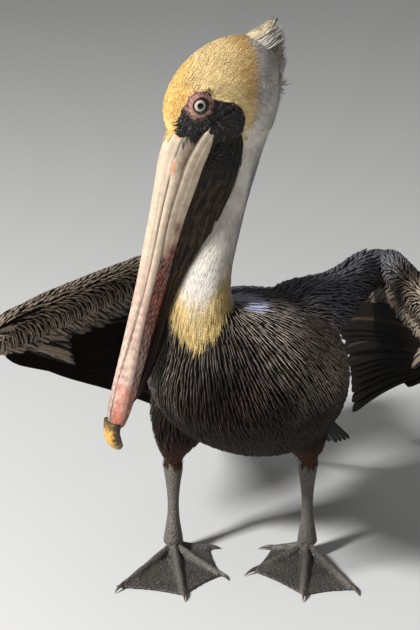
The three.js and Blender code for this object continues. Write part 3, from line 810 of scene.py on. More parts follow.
def foot(side):
    """A webbed foot as a fan of upright slices round the heel, from the outer toe to the hind toe. In
    each slice the top runs out from the heel to the web's edge and the underside runs back. The top is
    the highest of a thin web that slopes down to its edge and of four round toes with swollen joints. The
    web's edge is the straight line between two toes' tips, drawn in a little."""
    angles = np.array(TOE_ANGLES[side], float)
    lengths = np.array(TOE_LENGTHS, float)
    theta = np.radians(np.linspace(angles[0] - 5.5, angles[-1] + 8, 150))
    a, b = np.radians(angles[:-1]), np.radians(angles[1:])
    k = np.clip(np.searchsorted(np.radians(angles), theta) - 1, 0, 2)
    near, far = np.maximum(theta - a[k], 0), np.maximum(b[k] - theta, 0)
    edge = lengths[k] * lengths[k + 1] * np.sin(b[k] - a[k])
    edge = edge / (lengths[k] * np.sin(near) + lengths[k + 1] * np.sin(far) + 1e-6)
    middle = np.sin(np.pi * np.clip(near / (b[k] - a[k]), 0, 1))
    edge = np.minimum(edge, lengths.max()) * (1 - 0.035 * middle)
    outer = theta < math.radians(angles[0])
    edge = np.where(outer, lengths[0], np.where(theta > math.radians(angles[-1]), lengths[-1], edge))
    share = np.linspace(0.0, 1.0, 56) ** 0.9
    r = edge[:, None] * share
    web = mix(8.5, 1.9, share**0.7)[None] + 0.25 * np.sin(theta[:, None] * 60) * share * middle[:, None]
    web = web * (1 - 0.2 * middle[:, None] * np.sin(np.pi * share))
    top = np.where((outer | (theta > math.radians(angles[-1])))[:, None], 0.0, web + 0.9)
    under = np.maximum(top - 2.1, 0)
    for angle, length, (heel, tip) in zip(np.radians(angles), lengths, TOE_WIDTHS):
        turn = theta[:, None] - angle
        reach = r * np.cos(turn)
        way = np.clip(reach / length, 0, 1)
        off = np.abs(r * np.sin(turn)) + 99 * (np.abs(turn) > 1.2)
        knuckle = 1 + 0.12 * np.cos(way * 6 * np.pi)
        width = mix(heel, tip, way) * knuckle * np.sqrt(np.clip((length + 1.5 - reach) / 5, 0, 1))
        round_top = np.sqrt(np.clip(1 - (off / np.maximum(width, 0.1)) ** 2, 0, 1))
        height = mix(HEEL_HEIGHT, 6.8, way**0.6) * (0.94 + 0.06 * knuckle)
        top = np.maximum(top, height * round_top)
        under = np.where(off < width, np.minimum(under, 3.0 * (off / np.maximum(width, 0.1)) ** 4), under)
    top = np.maximum(top, under + 0.3)
    turn = math.radians(TOE_IN[side])
    ahead = np.array([-SIGN[side] * math.sin(turn), -math.cos(turn), 0])
    inwards = np.array([-SIGN[side] * math.cos(turn), math.sin(turn), 0])
    ray = np.cos(theta)[:, None, None] * ahead + np.sin(theta)[:, None, None] * inwards
    flat = np.array([SIGN[side] * STANCE[side], 0, 0]) + ray * r[..., None]
    upper = flat + top[..., None] * np.array([0, 0, 1.0])
    lower = flat + under[..., None] * np.array([0, 0, 1.0])
    return closed(np.concatenate([upper, lower[:, ::-1]], 1))


def head_form():
    """The skull with the nape, drawn in under the feathers and full size on the bare face."""

    def depth(t, angle):
        bare = bareness(skull(t, angle).reshape(-1, 3)).reshape(t.shape)
        return 2.6 * (1 - bare) + 0.2

    return closed(rings(skull, 90, 120, depth))


def sculpt_head(corners, faces):
    """Hollows the lores and sinks a socket for each eye, in the head's frame."""
    normals = normals_of(corners, faces)
    ahead, aside, above = HEAD.of(corners).T
    hollow = np.exp(-(((ahead - 45) / 9) ** 2) - ((above + 36) / 12) ** 2)
    brow = np.exp(-(((ahead - 30) / 12) ** 2) - ((above + 11) / 4) ** 2)
    beside = ramp(np.abs(aside), 8, 16)
    mouth = beside_line(MOUTH, ahead, above)
    move = -1.8 * hollow + 0.8 * brow - 1.6 * np.exp(-((mouth / 1.3) ** 2))
    jaw = np.exp(-(((ahead + 9) / 8) ** 2) - ((above + 48) / 14) ** 2)
    move = (move + 1.2 * jaw + 0.5 * wobble(corners, 8, 15) * bareness(corners)) * beside
    corners = corners + normals * move[:, None]
    for side in (1, -1):
        centre = eye_centre(side)
        axis = eye_axis(side)
        off = corners - centre
        forward = off @ axis
        radius = np.linalg.norm(off - forward[:, None] * axis, axis=1)
        sink = (1 - ramp(radius, 6.5, 9)) * (forward > -2)
        corners = corners - axis * (sink * np.maximum(forward + 1, 0))[:, None]
    return corners


def eye_centre(side):
    """The middle of an eye."""
    return HEAD.at(EYE_AT[0], side * EYE_AT[1], EYE_AT[2])


def eye_axis(side):
    """Which way an eye looks: aside and slightly ahead."""
    return unit(HEAD.rows[1] * side + HEAD.rows[0] * 0.22 + HEAD.rows[2] * 0.02)


def lids(side, head):
    """The bare skin round an eye: a ring round the eye's axis, from the lid's margin out to the face. Its
    height over the eye is the head's own, averaged from the corners near it, plus a rolled margin, a fold
    under the eye and finer creases."""
    centre = eye_centre(side)
    axis = eye_axis(side)
    right = unit(np.cross(HEAD.rows[2], axis))
    up = np.cross(axis, right)
    angle = np.arange(120) * 2 * np.pi / 120
    share, aa = np.meshgrid(np.linspace(0, 1, 34) ** 1.25, angle, indexing="ij")
    opened = 5.9 + 0.3 * np.cos(2 * aa)  # a little wider than high
    r = mix(opened, 13.5 + 1.5 * np.cos(aa - 0.6), share)
    off = head - centre
    forward = off @ axis
    spot = np.stack([off @ right, off @ up], 1)
    distance = np.linalg.norm(spot, axis=1)
    near = (forward > 0) & (distance > 9) & (distance < 19)
    here = np.stack([r * np.cos(aa), r * np.sin(aa)], -1).reshape(-1, 1, 2)
    weight = 1 / (((here - spot[near]) ** 2).sum(-1) + 0.8) ** 3
    base = ((weight @ forward[near]) / weight.sum(1)).reshape(r.shape)
    rim = 5.4
    base = mix(np.full_like(base, rim), base, ramp(r, 7.5, 10.5))
    lift = 1.0 * np.exp(-(((r - 7.1) / 0.75) ** 2))
    lift += 0.9 * np.exp(-(((r - 9.7) / 0.9) ** 2)) * ramp(-np.sin(aa), -0.1, 0.5)
    lift += 0.5 * np.exp(-(((r - 9.2) / 0.7) ** 2)) * ramp(np.sin(aa), 0.2, 0.7)
    lift += 0.3 * np.sin(r * 3.6 + 1.5 * np.sin(3 * aa)) * ramp(r, 8, 10) * (1 - ramp(r, 11.5, 13))
    lift += 0.4 - 1.5 * ramp(r, 11, 14)
    height = base + lift
    height[:3] = np.array([2.5, 4.6, 5.6])[:, None]
    flat = centre + (right * np.cos(aa)[..., None] + up * np.sin(aa)[..., None]) * r[..., None]
    outer = flat + axis * height[..., None]
    inner = flat + axis * (height[..., None] - 1.6)
    corners = np.concatenate([outer, inner[::-1]], 0).reshape(-1, 3)
    i = np.arange(len(corners)).reshape(-1, len(angle))
    j = np.roll(i, -1, 1)
    faces = np.concatenate([
        np.stack([i, j, np.roll(j, -1, 0)], -1).reshape(-1, 3),
        np.stack([i, np.roll(j, -1, 0), np.roll(i, -1, 0)], -1).reshape(-1, 3),
    ])
    return corners, outward(corners - centre, faces)


def tone_of_skin(corners):
    """The skin's colour at each corner: the plumage's markings with their painted shade, black face, pinkish
    orbit, grey legs.
    """
    ground, streak, strength = markings(corners)
    tone = layer(ground, streak, 0.35 * strength)
    bare = bareness(corners) * (corners[:, 2] > 380)
    tone = layer(tone, hue("face"), bare)
    for side in (1, -1):
        centre = eye_centre(side)
        off = HEAD.of(corners) - HEAD.of(centre)
        r = np.hypot(off[:, 0], off[:, 2] * 0.92)
        near = (1 - ramp(r + 1.6 * wobble(corners, 5, 8), 9.5, 14)) * (np.abs(off[:, 1]) < 16)
        round_eye = layer(all_over("orbit", tone), hue("face"), 0.28 + 0.3 * wobble(corners, 4, 9))
        tone = layer(tone, round_eye, near)
        below = np.exp(-(((r - 9.6) / 1.2) ** 2)) * ramp(-off[:, 2], 2, 7) * near
        tone = layer(tone, colour(0.78, 0.66, 0.58), 0.75 * below)
        margin = (1 - ramp(r, 7.1, 7.9)) * near
        tone = layer(tone, colour(0.05, 0.045, 0.045), margin)
    ahead, aside, above = HEAD.of(corners).T
    cheek = bare * (np.abs(aside) > 10)
    crease = (1 - ramp(beside_line(MOUTH, ahead, above), 0.5, 1.5)) * cheek
    tone = layer(tone, colour(0.03, 0.025, 0.025), crease)
    legs = 1 - ramp(corners[:, 2], 104, 108)
    toe = np.zeros(len(corners))
    for s in SIGN:
        off = corners - (SIGN[s] * STANCE[s], 0, 0)
        turn = math.radians(TOE_IN[s])
        for angle, length in zip(np.radians(TOE_ANGLES[s]), TOE_LENGTHS):
            side, ahead = math.sin(angle) * -SIGN[s], -math.cos(angle)
            way = np.array([side * math.cos(turn) + ahead * SIGN[s] * math.sin(turn),
                            ahead * math.cos(turn) - side * SIGN[s] * math.sin(turn), 0])
            reach, apart = off @ way, np.abs(off @ np.array([-way[1], way[0], 0]))
            toe = np.maximum(toe, (1 - ramp(apart, 3.0, 5.2)) * (reach > 0) * (reach < length + 4))
    toe = np.maximum(toe, ramp(corners[:, 2], 10, 22))
    web = hue("leg") * (mix(0.34, 1.3, toe) + 0.15 * wobble(corners, 22, 6))[:, None]
    return layer(tone, web, legs), bare, legs


def make_skin():
    """The one skin over head, neck, trunk, arms and legs, finer where it is bare."""
    coat = size("coat_depth")
    forms = [(trunk, coat + 1.5), (neck, NECK_COAT)]
    forms += [(form[s], coat) for form in (upper_arm, forearm, thigh) for s in SIGN]
    body = remeshed([closed(rings(form, 60, 64, inset)) for form, inset in forms], size("body_voxel"), 6)
    head = remeshed([head_form(), closed(rings(neck, 50, 48, NECK_COAT, 0.6))], size("head_voxel"), 3)
    orbits = [lids(side, head[0]) for side in (1, -1)]
    head = (sculpt_head(*head), head[1])
    legs = [remeshed([foot(s), closed(rings(tarsus[s], 60, 40))], size("leg_voxel"), 2) for s in SIGN]
    for corners, _ in legs:
        corners[:, 2] = np.maximum(corners[:, 2], 0)
    corners, faces = joined([body, head, *legs, *orbits])
    tone, bare, leg_share = tone_of_skin(corners)
    mesh = fill(bpy.data.meshes.new("skin"), corners, faces)
    paint(mesh, "tone", tone)
    middle = faces[:, 0]
    kind = np.where(leg_share[middle] > 0.5, 2,
                    np.where((bare[middle] > 0.5) & (middle >= len(body[0])), 1, 0))
    kind[-sum(len(f) for _, f in orbits):] = 1
    nodes = ["trunk", "head", "neck_lower", "neck_middle", "neck_upper"]
    for s in SIGN:
        nodes += [f"wing_{s}_upper_arm", f"wing_{s}_forearm", f"thigh_{s}", f"tarsus_{s}", f"foot_{s}"]
    piece("skin", mesh, skin_materials(), nodes)
    mesh.polygons.foreach_set("material_index", kind.astype(np.int32))


def skin_tree():
    """The skin's triangles in stance millimetres, for finding the nearest place on it."""
    mesh = bpy.data.objects["skin"].data
    faces = np.zeros(len(mesh.polygons) * 3, np.int32)
    mesh.polygons.foreach_get("vertices", faces)
    return BVHTree.FromPolygons(corners_of(mesh).tolist(), faces.reshape(-1, 3).tolist())


# ---------------------------------------------------------------- bill, pouch, eyes, claws

UPPER = np.array([
    [-16, 19, 23.6], [27, 16.5, 17.4], [70, 13.5, 13.2], [113, 12, 13.3], [156, 11.2, 11.8],
    [199, 11.5, 12.4], [242, 13, 13.8], [285, 12.4, 13],
])
LOWER = np.array([
    [-20, 23, 16.5], [18, 20, 19.8], [56, 16, 18.8], [94, 12.5, 15.8], [132, 11, 14], [170, 10.5, 13],
    [208, 11, 10], [246, 11, 7.8], [284, 8.5, 5.5],
])
POUCH = np.array([
    [-44, 23, -24, -46], [-6, 21, -17, -65], [32, 16, -15, -64.5], [70, 13, -12, -57],
    [108, 11.5, -11, -51.5], [146, 8.5, -11, -34], [184, 7.2, -10, -28.5], [222, 7, -8.5, -23.5],
    [260, 6, -7, -13],
])
NAIL = np.array([
    [280, 6.6, 12.9, 6.9], [287, 5.8, 12.2, 7.0], [293, 4.2, 11.2, 7.0], [299, 0.6, 9, 7],
    [303.4, -5, 5.8, 5], [305, -9.8, 2.4, 2.4],
])
# Half sections, from the mouth's edge to the middle line: share of the half width, share of the height.
ROOF = [(0.97, -0.02), (1.0, 0.06), (1.0, 0.2), (0.95, 0.38), (0.8, 0.56), (0.62, 0.72), (0.42, 0.93),
        (0.22, 1.0), (0, 1.02)]
TROUGH = [(0.9, -0.03), (0.99, 0.03), (1.02, 0.2), (1.0, 0.5), (0.92, 0.84), (0.7, 1.0),
          (0.4, 1.02), (0, 1.0)]
GROOVE = np.array([(-20, 0.72), (17, 0.75), (120, 0.74), (155, 0.7), (185, 0.6), (215, 0.46), (240, 0.36),
                   (300, 0.3)])


def shut_at(along):
    """How far the mouth's line lies above the bill's axis: it turns down to the gape and bows up twice
    after."""
    bows = 2.2 * np.exp(-(((along - 68) / 36) ** 2)) + 1.2 * np.exp(-(((along - 170) / 40) ** 2))
    return bows - 0.0225 * np.maximum(26 - along, 0) ** 1.66


def half_section(points, columns):
    """A half section's spline from one mouth edge over the middle to the other: side, height and share
    round."""
    share = np.linspace(-1, 1, columns)
    at = spline(points, 1 - np.abs(share))
    return at[:, 0] * np.sign(share), at[:, 1], share


def beak_part(stations, section, columns, rows, low, high, downwards):
    """A half of the bill as rings along it: each ring is the half section, scaled to the width and height
    there, then back across inside the mouth. Gives the corners, the triangles, and along, side and share
    round."""
    along = np.linspace(low, high, rows)
    t = (along - stations[0, 0]) / (stations[-1, 0] - stations[0, 0])
    _, width, height = spline(stations, t).T
    end = opening(t, 0.0, 0.08)
    width, height = width * mix(0.55, 1, end), height * mix(0.6, 1, end)
    if downwards:
        height = height * mix(0.25, 1, opening(t, 0.1, 0.0))
    side, rise, share = half_section(section, columns)
    inner = np.linspace(0.86, -0.86, 12)
    side = np.concatenate([side, inner])
    rise = np.concatenate([rise, np.full(12, 0.0)])
    share = np.concatenate([share, np.full(12, 2.0)])
    inside = np.where(share > 1.5, 1.2, 0.0)
    sense = -1 if downwards else 1
    aside = width[:, None] * side
    above = shut_at(along)[:, None] + sense * (height[:, None] * rise + inside + 0.12)
    along = np.broadcast_to(along[:, None], aside.shape).copy()
    return along, aside, above, np.broadcast_to(share, aside.shape)


def speckle(points, size_mm, seed, low, high):
    """Uneven spots drawn out along the bill."""
    drawn = BILL.of(points) * (0.4, 1, 1)
    return ramp(wobble(drawn, size_mm, seed) * 0.6 + wobble(drawn, size_mm * 0.37, seed + 1) * 0.4, low, high)


def make_bill():
    """The upper and lower halves of the bill and the nail: long sections that narrow and widen again,
    with a groove on either side of the upper ridge, painted from ivory at the root to red and slate near
    the tip."""
    along, aside, above, share = beak_part(UPPER, ROOF, 81, 250, -16, 285, False)
    width = np.maximum(np.abs(aside).max(1, keepdims=True), 1)
    line = np.interp(along, *GROOVE.T)
    off = (np.abs(aside) / width - line) * width
    top = share < 1.5
    groove = np.exp(-((off / 0.9) ** 2)) * top
    above = above - 1.1 * groove - 0.25 * np.exp(-(((off + 2.6) / 1.4) ** 2)) * top
    aside = aside * (1 - 0.03 * groove)
    grain = 0.12 * np.sin(aside * 2.4 + 0.4 * np.sin(along / 17)) * (off < 0) * ramp(along, 10, 40)
    above = above + grain * top
    corners = BILL.at(along, aside, above)
    flat = corners.reshape(-1, 3)
    a, o, w = along.ravel(), off.ravel(), (aside / width).ravel()
    tone = layer(all_over("ivory", flat), hue("blush"), 0.4 * speckle(flat, 20, 21, -0.1, 0.7))
    flank = ramp(o, 0, 1.2)
    rosy = ramp(a, 90, 190)
    tone = layer(tone, colour(0.86, 0.72, 0.68), 0.75 * rosy * speckle(flat, 5, 26, -0.5, 0.5))
    tone = layer(tone, colour(0.66, 0.40, 0.38), 0.6 * rosy * speckle(flat, 2.6, 27, 0.0, 0.5))
    red = ramp(a + 14 * wobble(flat, 16, 22), 232, 268) * (0.5 + 0.5 * speckle(flat, 4, 30, -0.4, 0.3))
    tone = layer(tone, hue("coral"), mix(0.1, 0.85, flank) * red)
    tone = layer(tone, hue("slate"), 0.7 * ramp(a + 5 * wobble(flat, 5, 29), 268, 284) * (1 - 0.8 * flank))
    tone = layer(tone, colour(0.50, 0.44, 0.36),
                 0.75 * flank * (1 - ramp(a + 8 * wobble(flat, 9, 28), 8, 46)))
    tone = layer(tone, hue("face"), flank * (1 - ramp(a + 5 * wobble(flat * (1, 1, 0.3), 5, 23), -5, 4)))
    tone = layer(tone, hue("slate"),
                 (1 - flank) * ramp(a, 215, 265) * speckle(flat, 2.5, 24, -0.2, 0.5) * 0.7)
    tone = layer(tone, hue("slate"), 0.4 * ramp(a, 100, 160) * speckle(flat, 1.6, 25, 0.3, 0.7))
    tone = layer(tone, hue("orange"),
                 np.exp(-(((o - 0.9) / 0.9) ** 2)) * ramp(a, 16, 20) * (1 - ramp(a, 26, 34)))
    dark = np.exp(-((o / 0.65) ** 2)) * (1 - 0.85 * ramp(a, 12, 18) * (1 - ramp(a, 28, 38)))
    tone = layer(tone, hue("slate"), dark * mix(1, 0.75, ramp(a, 60, 120)))
    tone = layer(tone, hue("slate"), 0.8 * ramp(np.abs(w), 0.975, 1.0) * (above.ravel() < shut_at(a) + 0.9))
    solid("bill_top", *closed(corners), "horn", [horn_material("bill_top_horn", 0.46)], ["bill_upper"],
          {"tone": np.vstack([tone, tone[:2]])})

    along, aside, above, share = beak_part(LOWER, TROUGH, 71, 250, -20, 284, True)
    width = np.maximum(np.abs(aside).max(1, keepdims=True), 1)
    depth = shut_at(along) - above
    ridge = np.exp(-(((depth - 0.55 * np.interp(along, LOWER[:, 0], LOWER[:, 2])) / 1.6) ** 2))
    ridge = ridge * (share < 1.5)
    aside = aside * (1 + 0.035 * ridge)
    corners = BILL.at(along, aside, above)
    flat = corners.reshape(-1, 3)
    a, d = along.ravel(), depth.ravel()
    # Painted light: the lower half's ivory is 1.18 times the upper half's, paler to stand in for light on it.
    tone = layer(np.broadcast_to(hue("ivory") * 1.18, flat.shape), hue("blush"),
                 0.35 * speckle(flat, 14, 31, 0, 0.8))
    tone = layer(tone, colour(0.70, 0.55, 0.50), 0.5 * ramp(a, 40, 90) * speckle(flat, 4, 37, -0.3, 0.5))
    raw = ramp(a + 16 * wobble(flat, 20, 32), 84, 116)
    tone = layer(tone, colour(0.45, 0.19, 0.14), raw * (1 - 0.5 * ramp(a, 170, 215)))
    tone = layer(tone, colour(0.78, 0.25, 0.14),
                 raw * (1 - ramp(a, 150, 200)) * speckle(flat, 3, 38, 0.0, 0.4) * 0.8)
    tone = layer(tone, colour(0.12, 0.09, 0.09), raw * speckle(flat, 3.2, 33, -0.25, 0.35) * 0.9)
    tone = layer(tone, colour(0.66, 0.57, 0.53), raw * speckle(flat, 2.4, 34, 0.0, 0.5) * 0.65)
    tone = layer(tone, hue("coral"), 0.6 * ramp(a, 225, 262) * speckle(flat, 5, 35, -0.4, 0.4))
    tone = layer(tone, hue("slate"), 0.85 * (1 - ramp(d, 0.2, 0.9)))
    solid("bill_bottom", *closed(corners), "horn", [horn_material("bill_bottom_horn", 0.48)], ["bill_lower"],
          {"tone": np.vstack([tone, tone[:2]])})

    t = np.linspace(0, 1, 46)
    angle = np.arange(56) * 2 * np.pi / 56
    tt, aa = np.meshgrid(t, angle, indexing="ij")
    a, h, w, r = np.moveaxis(spline(NAIL, tt), -1, 0)
    shrink = opening(tt, 0, 0.1)
    side = np.sign(np.cos(aa)) * np.abs(np.cos(aa)) ** 0.85 * w * shrink
    rise = np.sign(np.sin(aa)) * np.abs(np.sin(aa)) ** 0.9 * r * shrink
    slope = np.arctan2(-np.gradient(h, axis=0), np.gradient(a, axis=0))
    groove = np.exp(-(((np.abs(side) - 0.32 * w) / 1.1) ** 2)) * (rise > 0) * (1 - tt)
    rise = rise - 0.8 * groove
    corners = BILL.at(a + rise * np.sin(slope), side, h + rise * np.cos(slope))
    flat = corners.reshape(-1, 3)
    worn = 0.85 * (1 - ramp(tt.ravel() + 0.1 * wobble(flat, 4, 43), 0.1, 0.3))
    tone = layer(all_over("nail", flat), hue("slate"), worn)
    tone = layer(tone, hue("slate"), 0.8 * ramp(tt.ravel() + 0.1 * wobble(flat, 5, 41), 0.72, 0.9))
    low = ramp(-(rise / r).ravel() + 0.25 * wobble(flat, 4, 42), -0.6, -0.1)
    tone = layer(tone, hue("slate"), 0.9 * low * (1 - 0.5 * ramp(tt.ravel(), 0.6, 0.9)))
    tone = layer(tone, hue("slate"), 0.6 * groove.ravel())
    solid("bill_hook", *closed(corners), "nail", [horn_material("nail_horn", 0.3)], ["bill_nail"],
          {"tone": np.vstack([tone, tone[:2]])})


def horn_material(name, roughness):
    """Smooth horn with fine lengthwise scratches, cloudy colour and small dark flecks."""
    s = Shader(name, roughness, Coat_Weight=0.06, Coat_Roughness=0.3, Specular_IOR_Level=0.4)
    cloud = s.ramp(s.noise(7.0, 4.0), 0.3, 0.7, 0.86, 1.08)
    tone = s.blend(1.0, s.attribute("tone"), s.add("CombineColor", cloud, cloud, cloud), "MULTIPLY")
    flecks = s.ramp(s.noise(1.6, 3.0, 0.65), 0.6, 0.72)
    tone = s.blend(s.math("MULTIPLY", flecks, 0.35), tone, colour(0.42, 0.30, 0.26))
    rough = s.ramp(s.noise(3.0), 0.3, 0.7, roughness - 0.06, roughness + 0.14)
    normal = s.bump(s.noise(0.8, 2.0), 0.1, s.bump(s.noise(4.0), 0.25))
    return s.finish(Base_Color=tone, Roughness=rough, Normal=normal)


def make_pouch():
    """The folded pouch under the bill: a deep narrow loop at each place along it, its wall waved by long
    folds that wander a little from root to tip."""
    t = np.linspace(0, 1, 260)
    angle = np.arange(224) * 2 * np.pi / 224
    tt, aa = np.meshgrid(t, angle, indexing="ij")
    along, width, top, bottom = np.moveaxis(spline(POUCH, tt), -1, 0)
    size_here = opening(tt, 0.06, 0.06)
    narrow = 0.72 + 0.28 * np.sin(aa)
    wander = aa + 0.12 * np.sin(tt * 9 + 2 * aa) + 0.05 * np.sin(tt * 31)
    fold = np.sin(wander * 17) + 0.5 * np.sin(wander * 29 + tt * 7)
    depth = (size("fold") * fold * ramp(-np.sin(aa), -0.95, -0.4)
             * ramp(tt, 0.02, 0.15) * (1 - ramp(tt, 0.85, 1)))
    aside = (width * narrow * size_here) * np.cos(aa) + depth * np.sign(np.cos(aa))
    above = (top + bottom) / 2 + (top - bottom) / 2 * size_here * np.sin(aa)
    corners = BILL.at(along, aside, above)
    flat = corners.reshape(-1, 3)
    a, f = along.ravel(), fold.ravel()
    tone = all_over("face", flat)
    ochre = colour(0.47, 0.36, 0.20)
    band = ramp(a, 4, 46) * (1 - ramp(a, 130, 200))
    tone = layer(tone, ochre, 0.25 * ramp(f + 0.9 * wobble(flat, 12, 51), 0.3, 1.7) * band)
    tone = layer(tone, colour(0.20, 0.09, 0.075), 0.5 * ramp(a, 90, 190))
    folds = Shader("pouch_skin", 0.5, Specular_IOR_Level=0.3)
    warts = folds.ramp(folds.cells(2.1, "F1"), 0.1, 0.75, 1.0, 0.0)
    near_root = folds.attribute("root", "Fac")
    # Pale flecks on the warts' tops near the root: painted highlights, as on the face.
    pale = folds.math("MULTIPLY", folds.ramp(folds.noise(5.0, 4.0), 0.5, 0.75), folds.ramp(warts, 0.35, 0.95))
    pale = folds.math("MULTIPLY", pale, folds.math("MULTIPLY", near_root, 0.55))
    tone_with_highlights = folds.blend(pale, folds.attribute("tone"), colour(0.50, 0.43, 0.38))
    reach, turn = folds.uv("lie")
    drawn = folds.add("TexNoise",
                      folds.add("CombineXYZ", folds.math("MULTIPLY", reach, 26.0),
                                folds.math("MULTIPLY", turn, 230.0)),
                      ("Scale", 1.0), ("Detail", 2.0))
    drawn = folds.math("MULTIPLY", folds.ramp(drawn, 0.52, 0.72), folds.attribute("band", "Fac"))
    tone_with_highlights = folds.blend(drawn, tone_with_highlights, ochre)
    grain = folds.ramp(folds.noise(1.3, 3.0), 0.3, 0.7, 0.7, 1.25)
    tone_with_highlights = folds.blend(1.0, tone_with_highlights, folds.add("CombineColor", grain, grain, grain), "MULTIPLY")
    relief = folds.bump(folds.math("MULTIPLY", warts, near_root), 0.7)
    folds.finish(Base_Color=tone_with_highlights, Normal=folds.bump(folds.noise(0.9, 3.0), 0.3, relief))
    root = 1 - ramp(a, 8, 40)
    solid("pouch_folds", *closed(corners), "pouch", [folds.material], ["pouch"],
          {"tone": np.vstack([tone, tone[:2]]), "root": np.append(root, root[:2])[:, None] * np.ones(3),
           "band": np.append(band, [0, 0])[:, None] * np.ones(3)},
          {"lie": np.vstack([np.stack([tt.ravel(), aa.ravel() / (2 * np.pi)], 1), [[0, 0.5], [1, 0.5]]])})


def make_eyes():
    """An eyeball for each side: a ball whose front bulges a little over the iris, with a UV map that
    holds the distance from its axis and the angle round it."""
    s = Shader("eyeball", 0.04, Specular_IOR_Level=0.35)
    out, turn = s.uv("iris")
    rays = s.add("TexNoise",
                 s.add("CombineXYZ", s.math("MULTIPLY", turn, 26.0), s.math("MULTIPLY", out, 1.2)),
                 ("Scale", 3.0), ("Detail", 3.0))
    ringed = s.blend(s.ramp(rays, 0.35, 0.7), hue("iris"), colour(0.62, 0.58, 0.52))
    inner = s.ramp(out, size("pupil"), size("pupil") * 1.3, 1.0, 0.0)
    ringed = s.blend(s.math("MULTIPLY", inner, 0.5), ringed, colour(0.45, 0.40, 0.34))
    black = colour(0.02, 0.017, 0.015)
    pupil = s.ramp(out, size("pupil") - 0.12, size("pupil") + 0.12, 1.0, 0.0)
    limbus = s.ramp(out, size("iris") - 0.3, size("iris") + 0.15)
    s.finish(Base_Color=s.blend(limbus, s.blend(pupil, ringed, black), black))
    for name, side in (("left", 1), ("right", -1)):
        centre = eye_centre(side)
        axis = eye_axis(side)
        right = unit(np.cross(HEAD.rows[2], axis))
        up = np.cross(axis, right)
        polar = np.linspace(0, np.pi, 49)[1:-1]
        pp, aa = np.meshgrid(polar, np.arange(48) * 2 * np.pi / 48, indexing="ij")
        ball = EYE_RADIUS - 0.05 + 0.35 * np.exp(-((pp / 0.5) ** 2))
        r = ball * np.sin(pp)
        corners = (centre + right * (r * np.cos(aa))[..., None] + up * (r * np.sin(aa))[..., None]
                   + axis * (ball * np.cos(pp))[..., None])
        far = np.where(pp > np.pi / 2, 8.0, r)
        places = np.stack([far.ravel(), aa.ravel() / (2 * np.pi)], 1)
        places = np.vstack([places, [[0, 0], [8, 0]]])
        solid(f"eyeball_{name}", *closed(corners), "eye", [s.material], [f"eye_{name}"],
              maps={"iris": places})


def make_claws():
    """Eight claws, each a curved cone from its toe's tip: its middle line sinks in an arc to the floor
    while its oval section closes to a point, deeper than it is wide."""
    parts, shades = [], []
    for side in SIGN:
        turn = math.radians(TOE_IN[side])
        ahead = np.array([-SIGN[side] * math.sin(turn), -math.cos(turn), 0])
        inwards = np.array([-SIGN[side] * math.cos(turn), math.sin(turn), 0])
        for angle, length in zip(TOE_ANGLES[side], TOE_LENGTHS):
            way = math.cos(math.radians(angle)) * ahead + math.sin(math.radians(angle)) * inwards
            across = np.array([-way[1], way[0], 0])
            t = np.linspace(0, 1, 20)
            tt, aa = np.meshgrid(t, np.arange(16) * 2 * np.pi / 16, indexing="ij")
            reach = length - 4.5 + (CLAW + 4) * tt
            height = 4.2 + 1.3 * np.sin(np.pi * tt * 0.8) - 4.0 * tt**1.7
            half = 2.5 * (1 - tt**1.6) + 0.25
            flat = np.array([SIGN[side] * STANCE[side], 0, 0])
            corners = (flat + way * reach[..., None] + across * (half * 0.72 * np.cos(aa))[..., None]
                       + np.array([0, 0, 1.0]) * np.maximum(height + half * np.sin(aa), 0.05)[..., None])
            parts.append(closed(corners))
            shades.append(np.append(tt.ravel(), [0, 1]))
    corners, faces = joined(parts)
    share = np.concatenate(shades)
    tone = layer(all_over("claw", corners), colour(0.22, 0.20, 0.19), 0.8 * ramp(share, 0.45, 0.95))
    tone = layer(tone, hue("leg"), 1 - ramp(share, 0.2, 0.34))
    names = [f"claw_{side}_{toe}" for side in SIGN for toe in TOE_NAMES]
    solid("claws", corners, faces, "claw", [horn_material("claw_horn", 0.38)], names, {"tone": tone})


# ---------------------------------------------------------------- feathers

BAKE_PATCH = 0.003


def profile(kind, s):
    """A vane's half width at each share of its length, as a share of its greatest half width."""
    if kind == "lance":
        return opening(s, 0.5, 0) * (1 - s**3.2)
    if kind == "hair":
        return opening(s, 0.35, 0) * (1 - s**2.2)
    return opening(s, 0.45, 0.3)


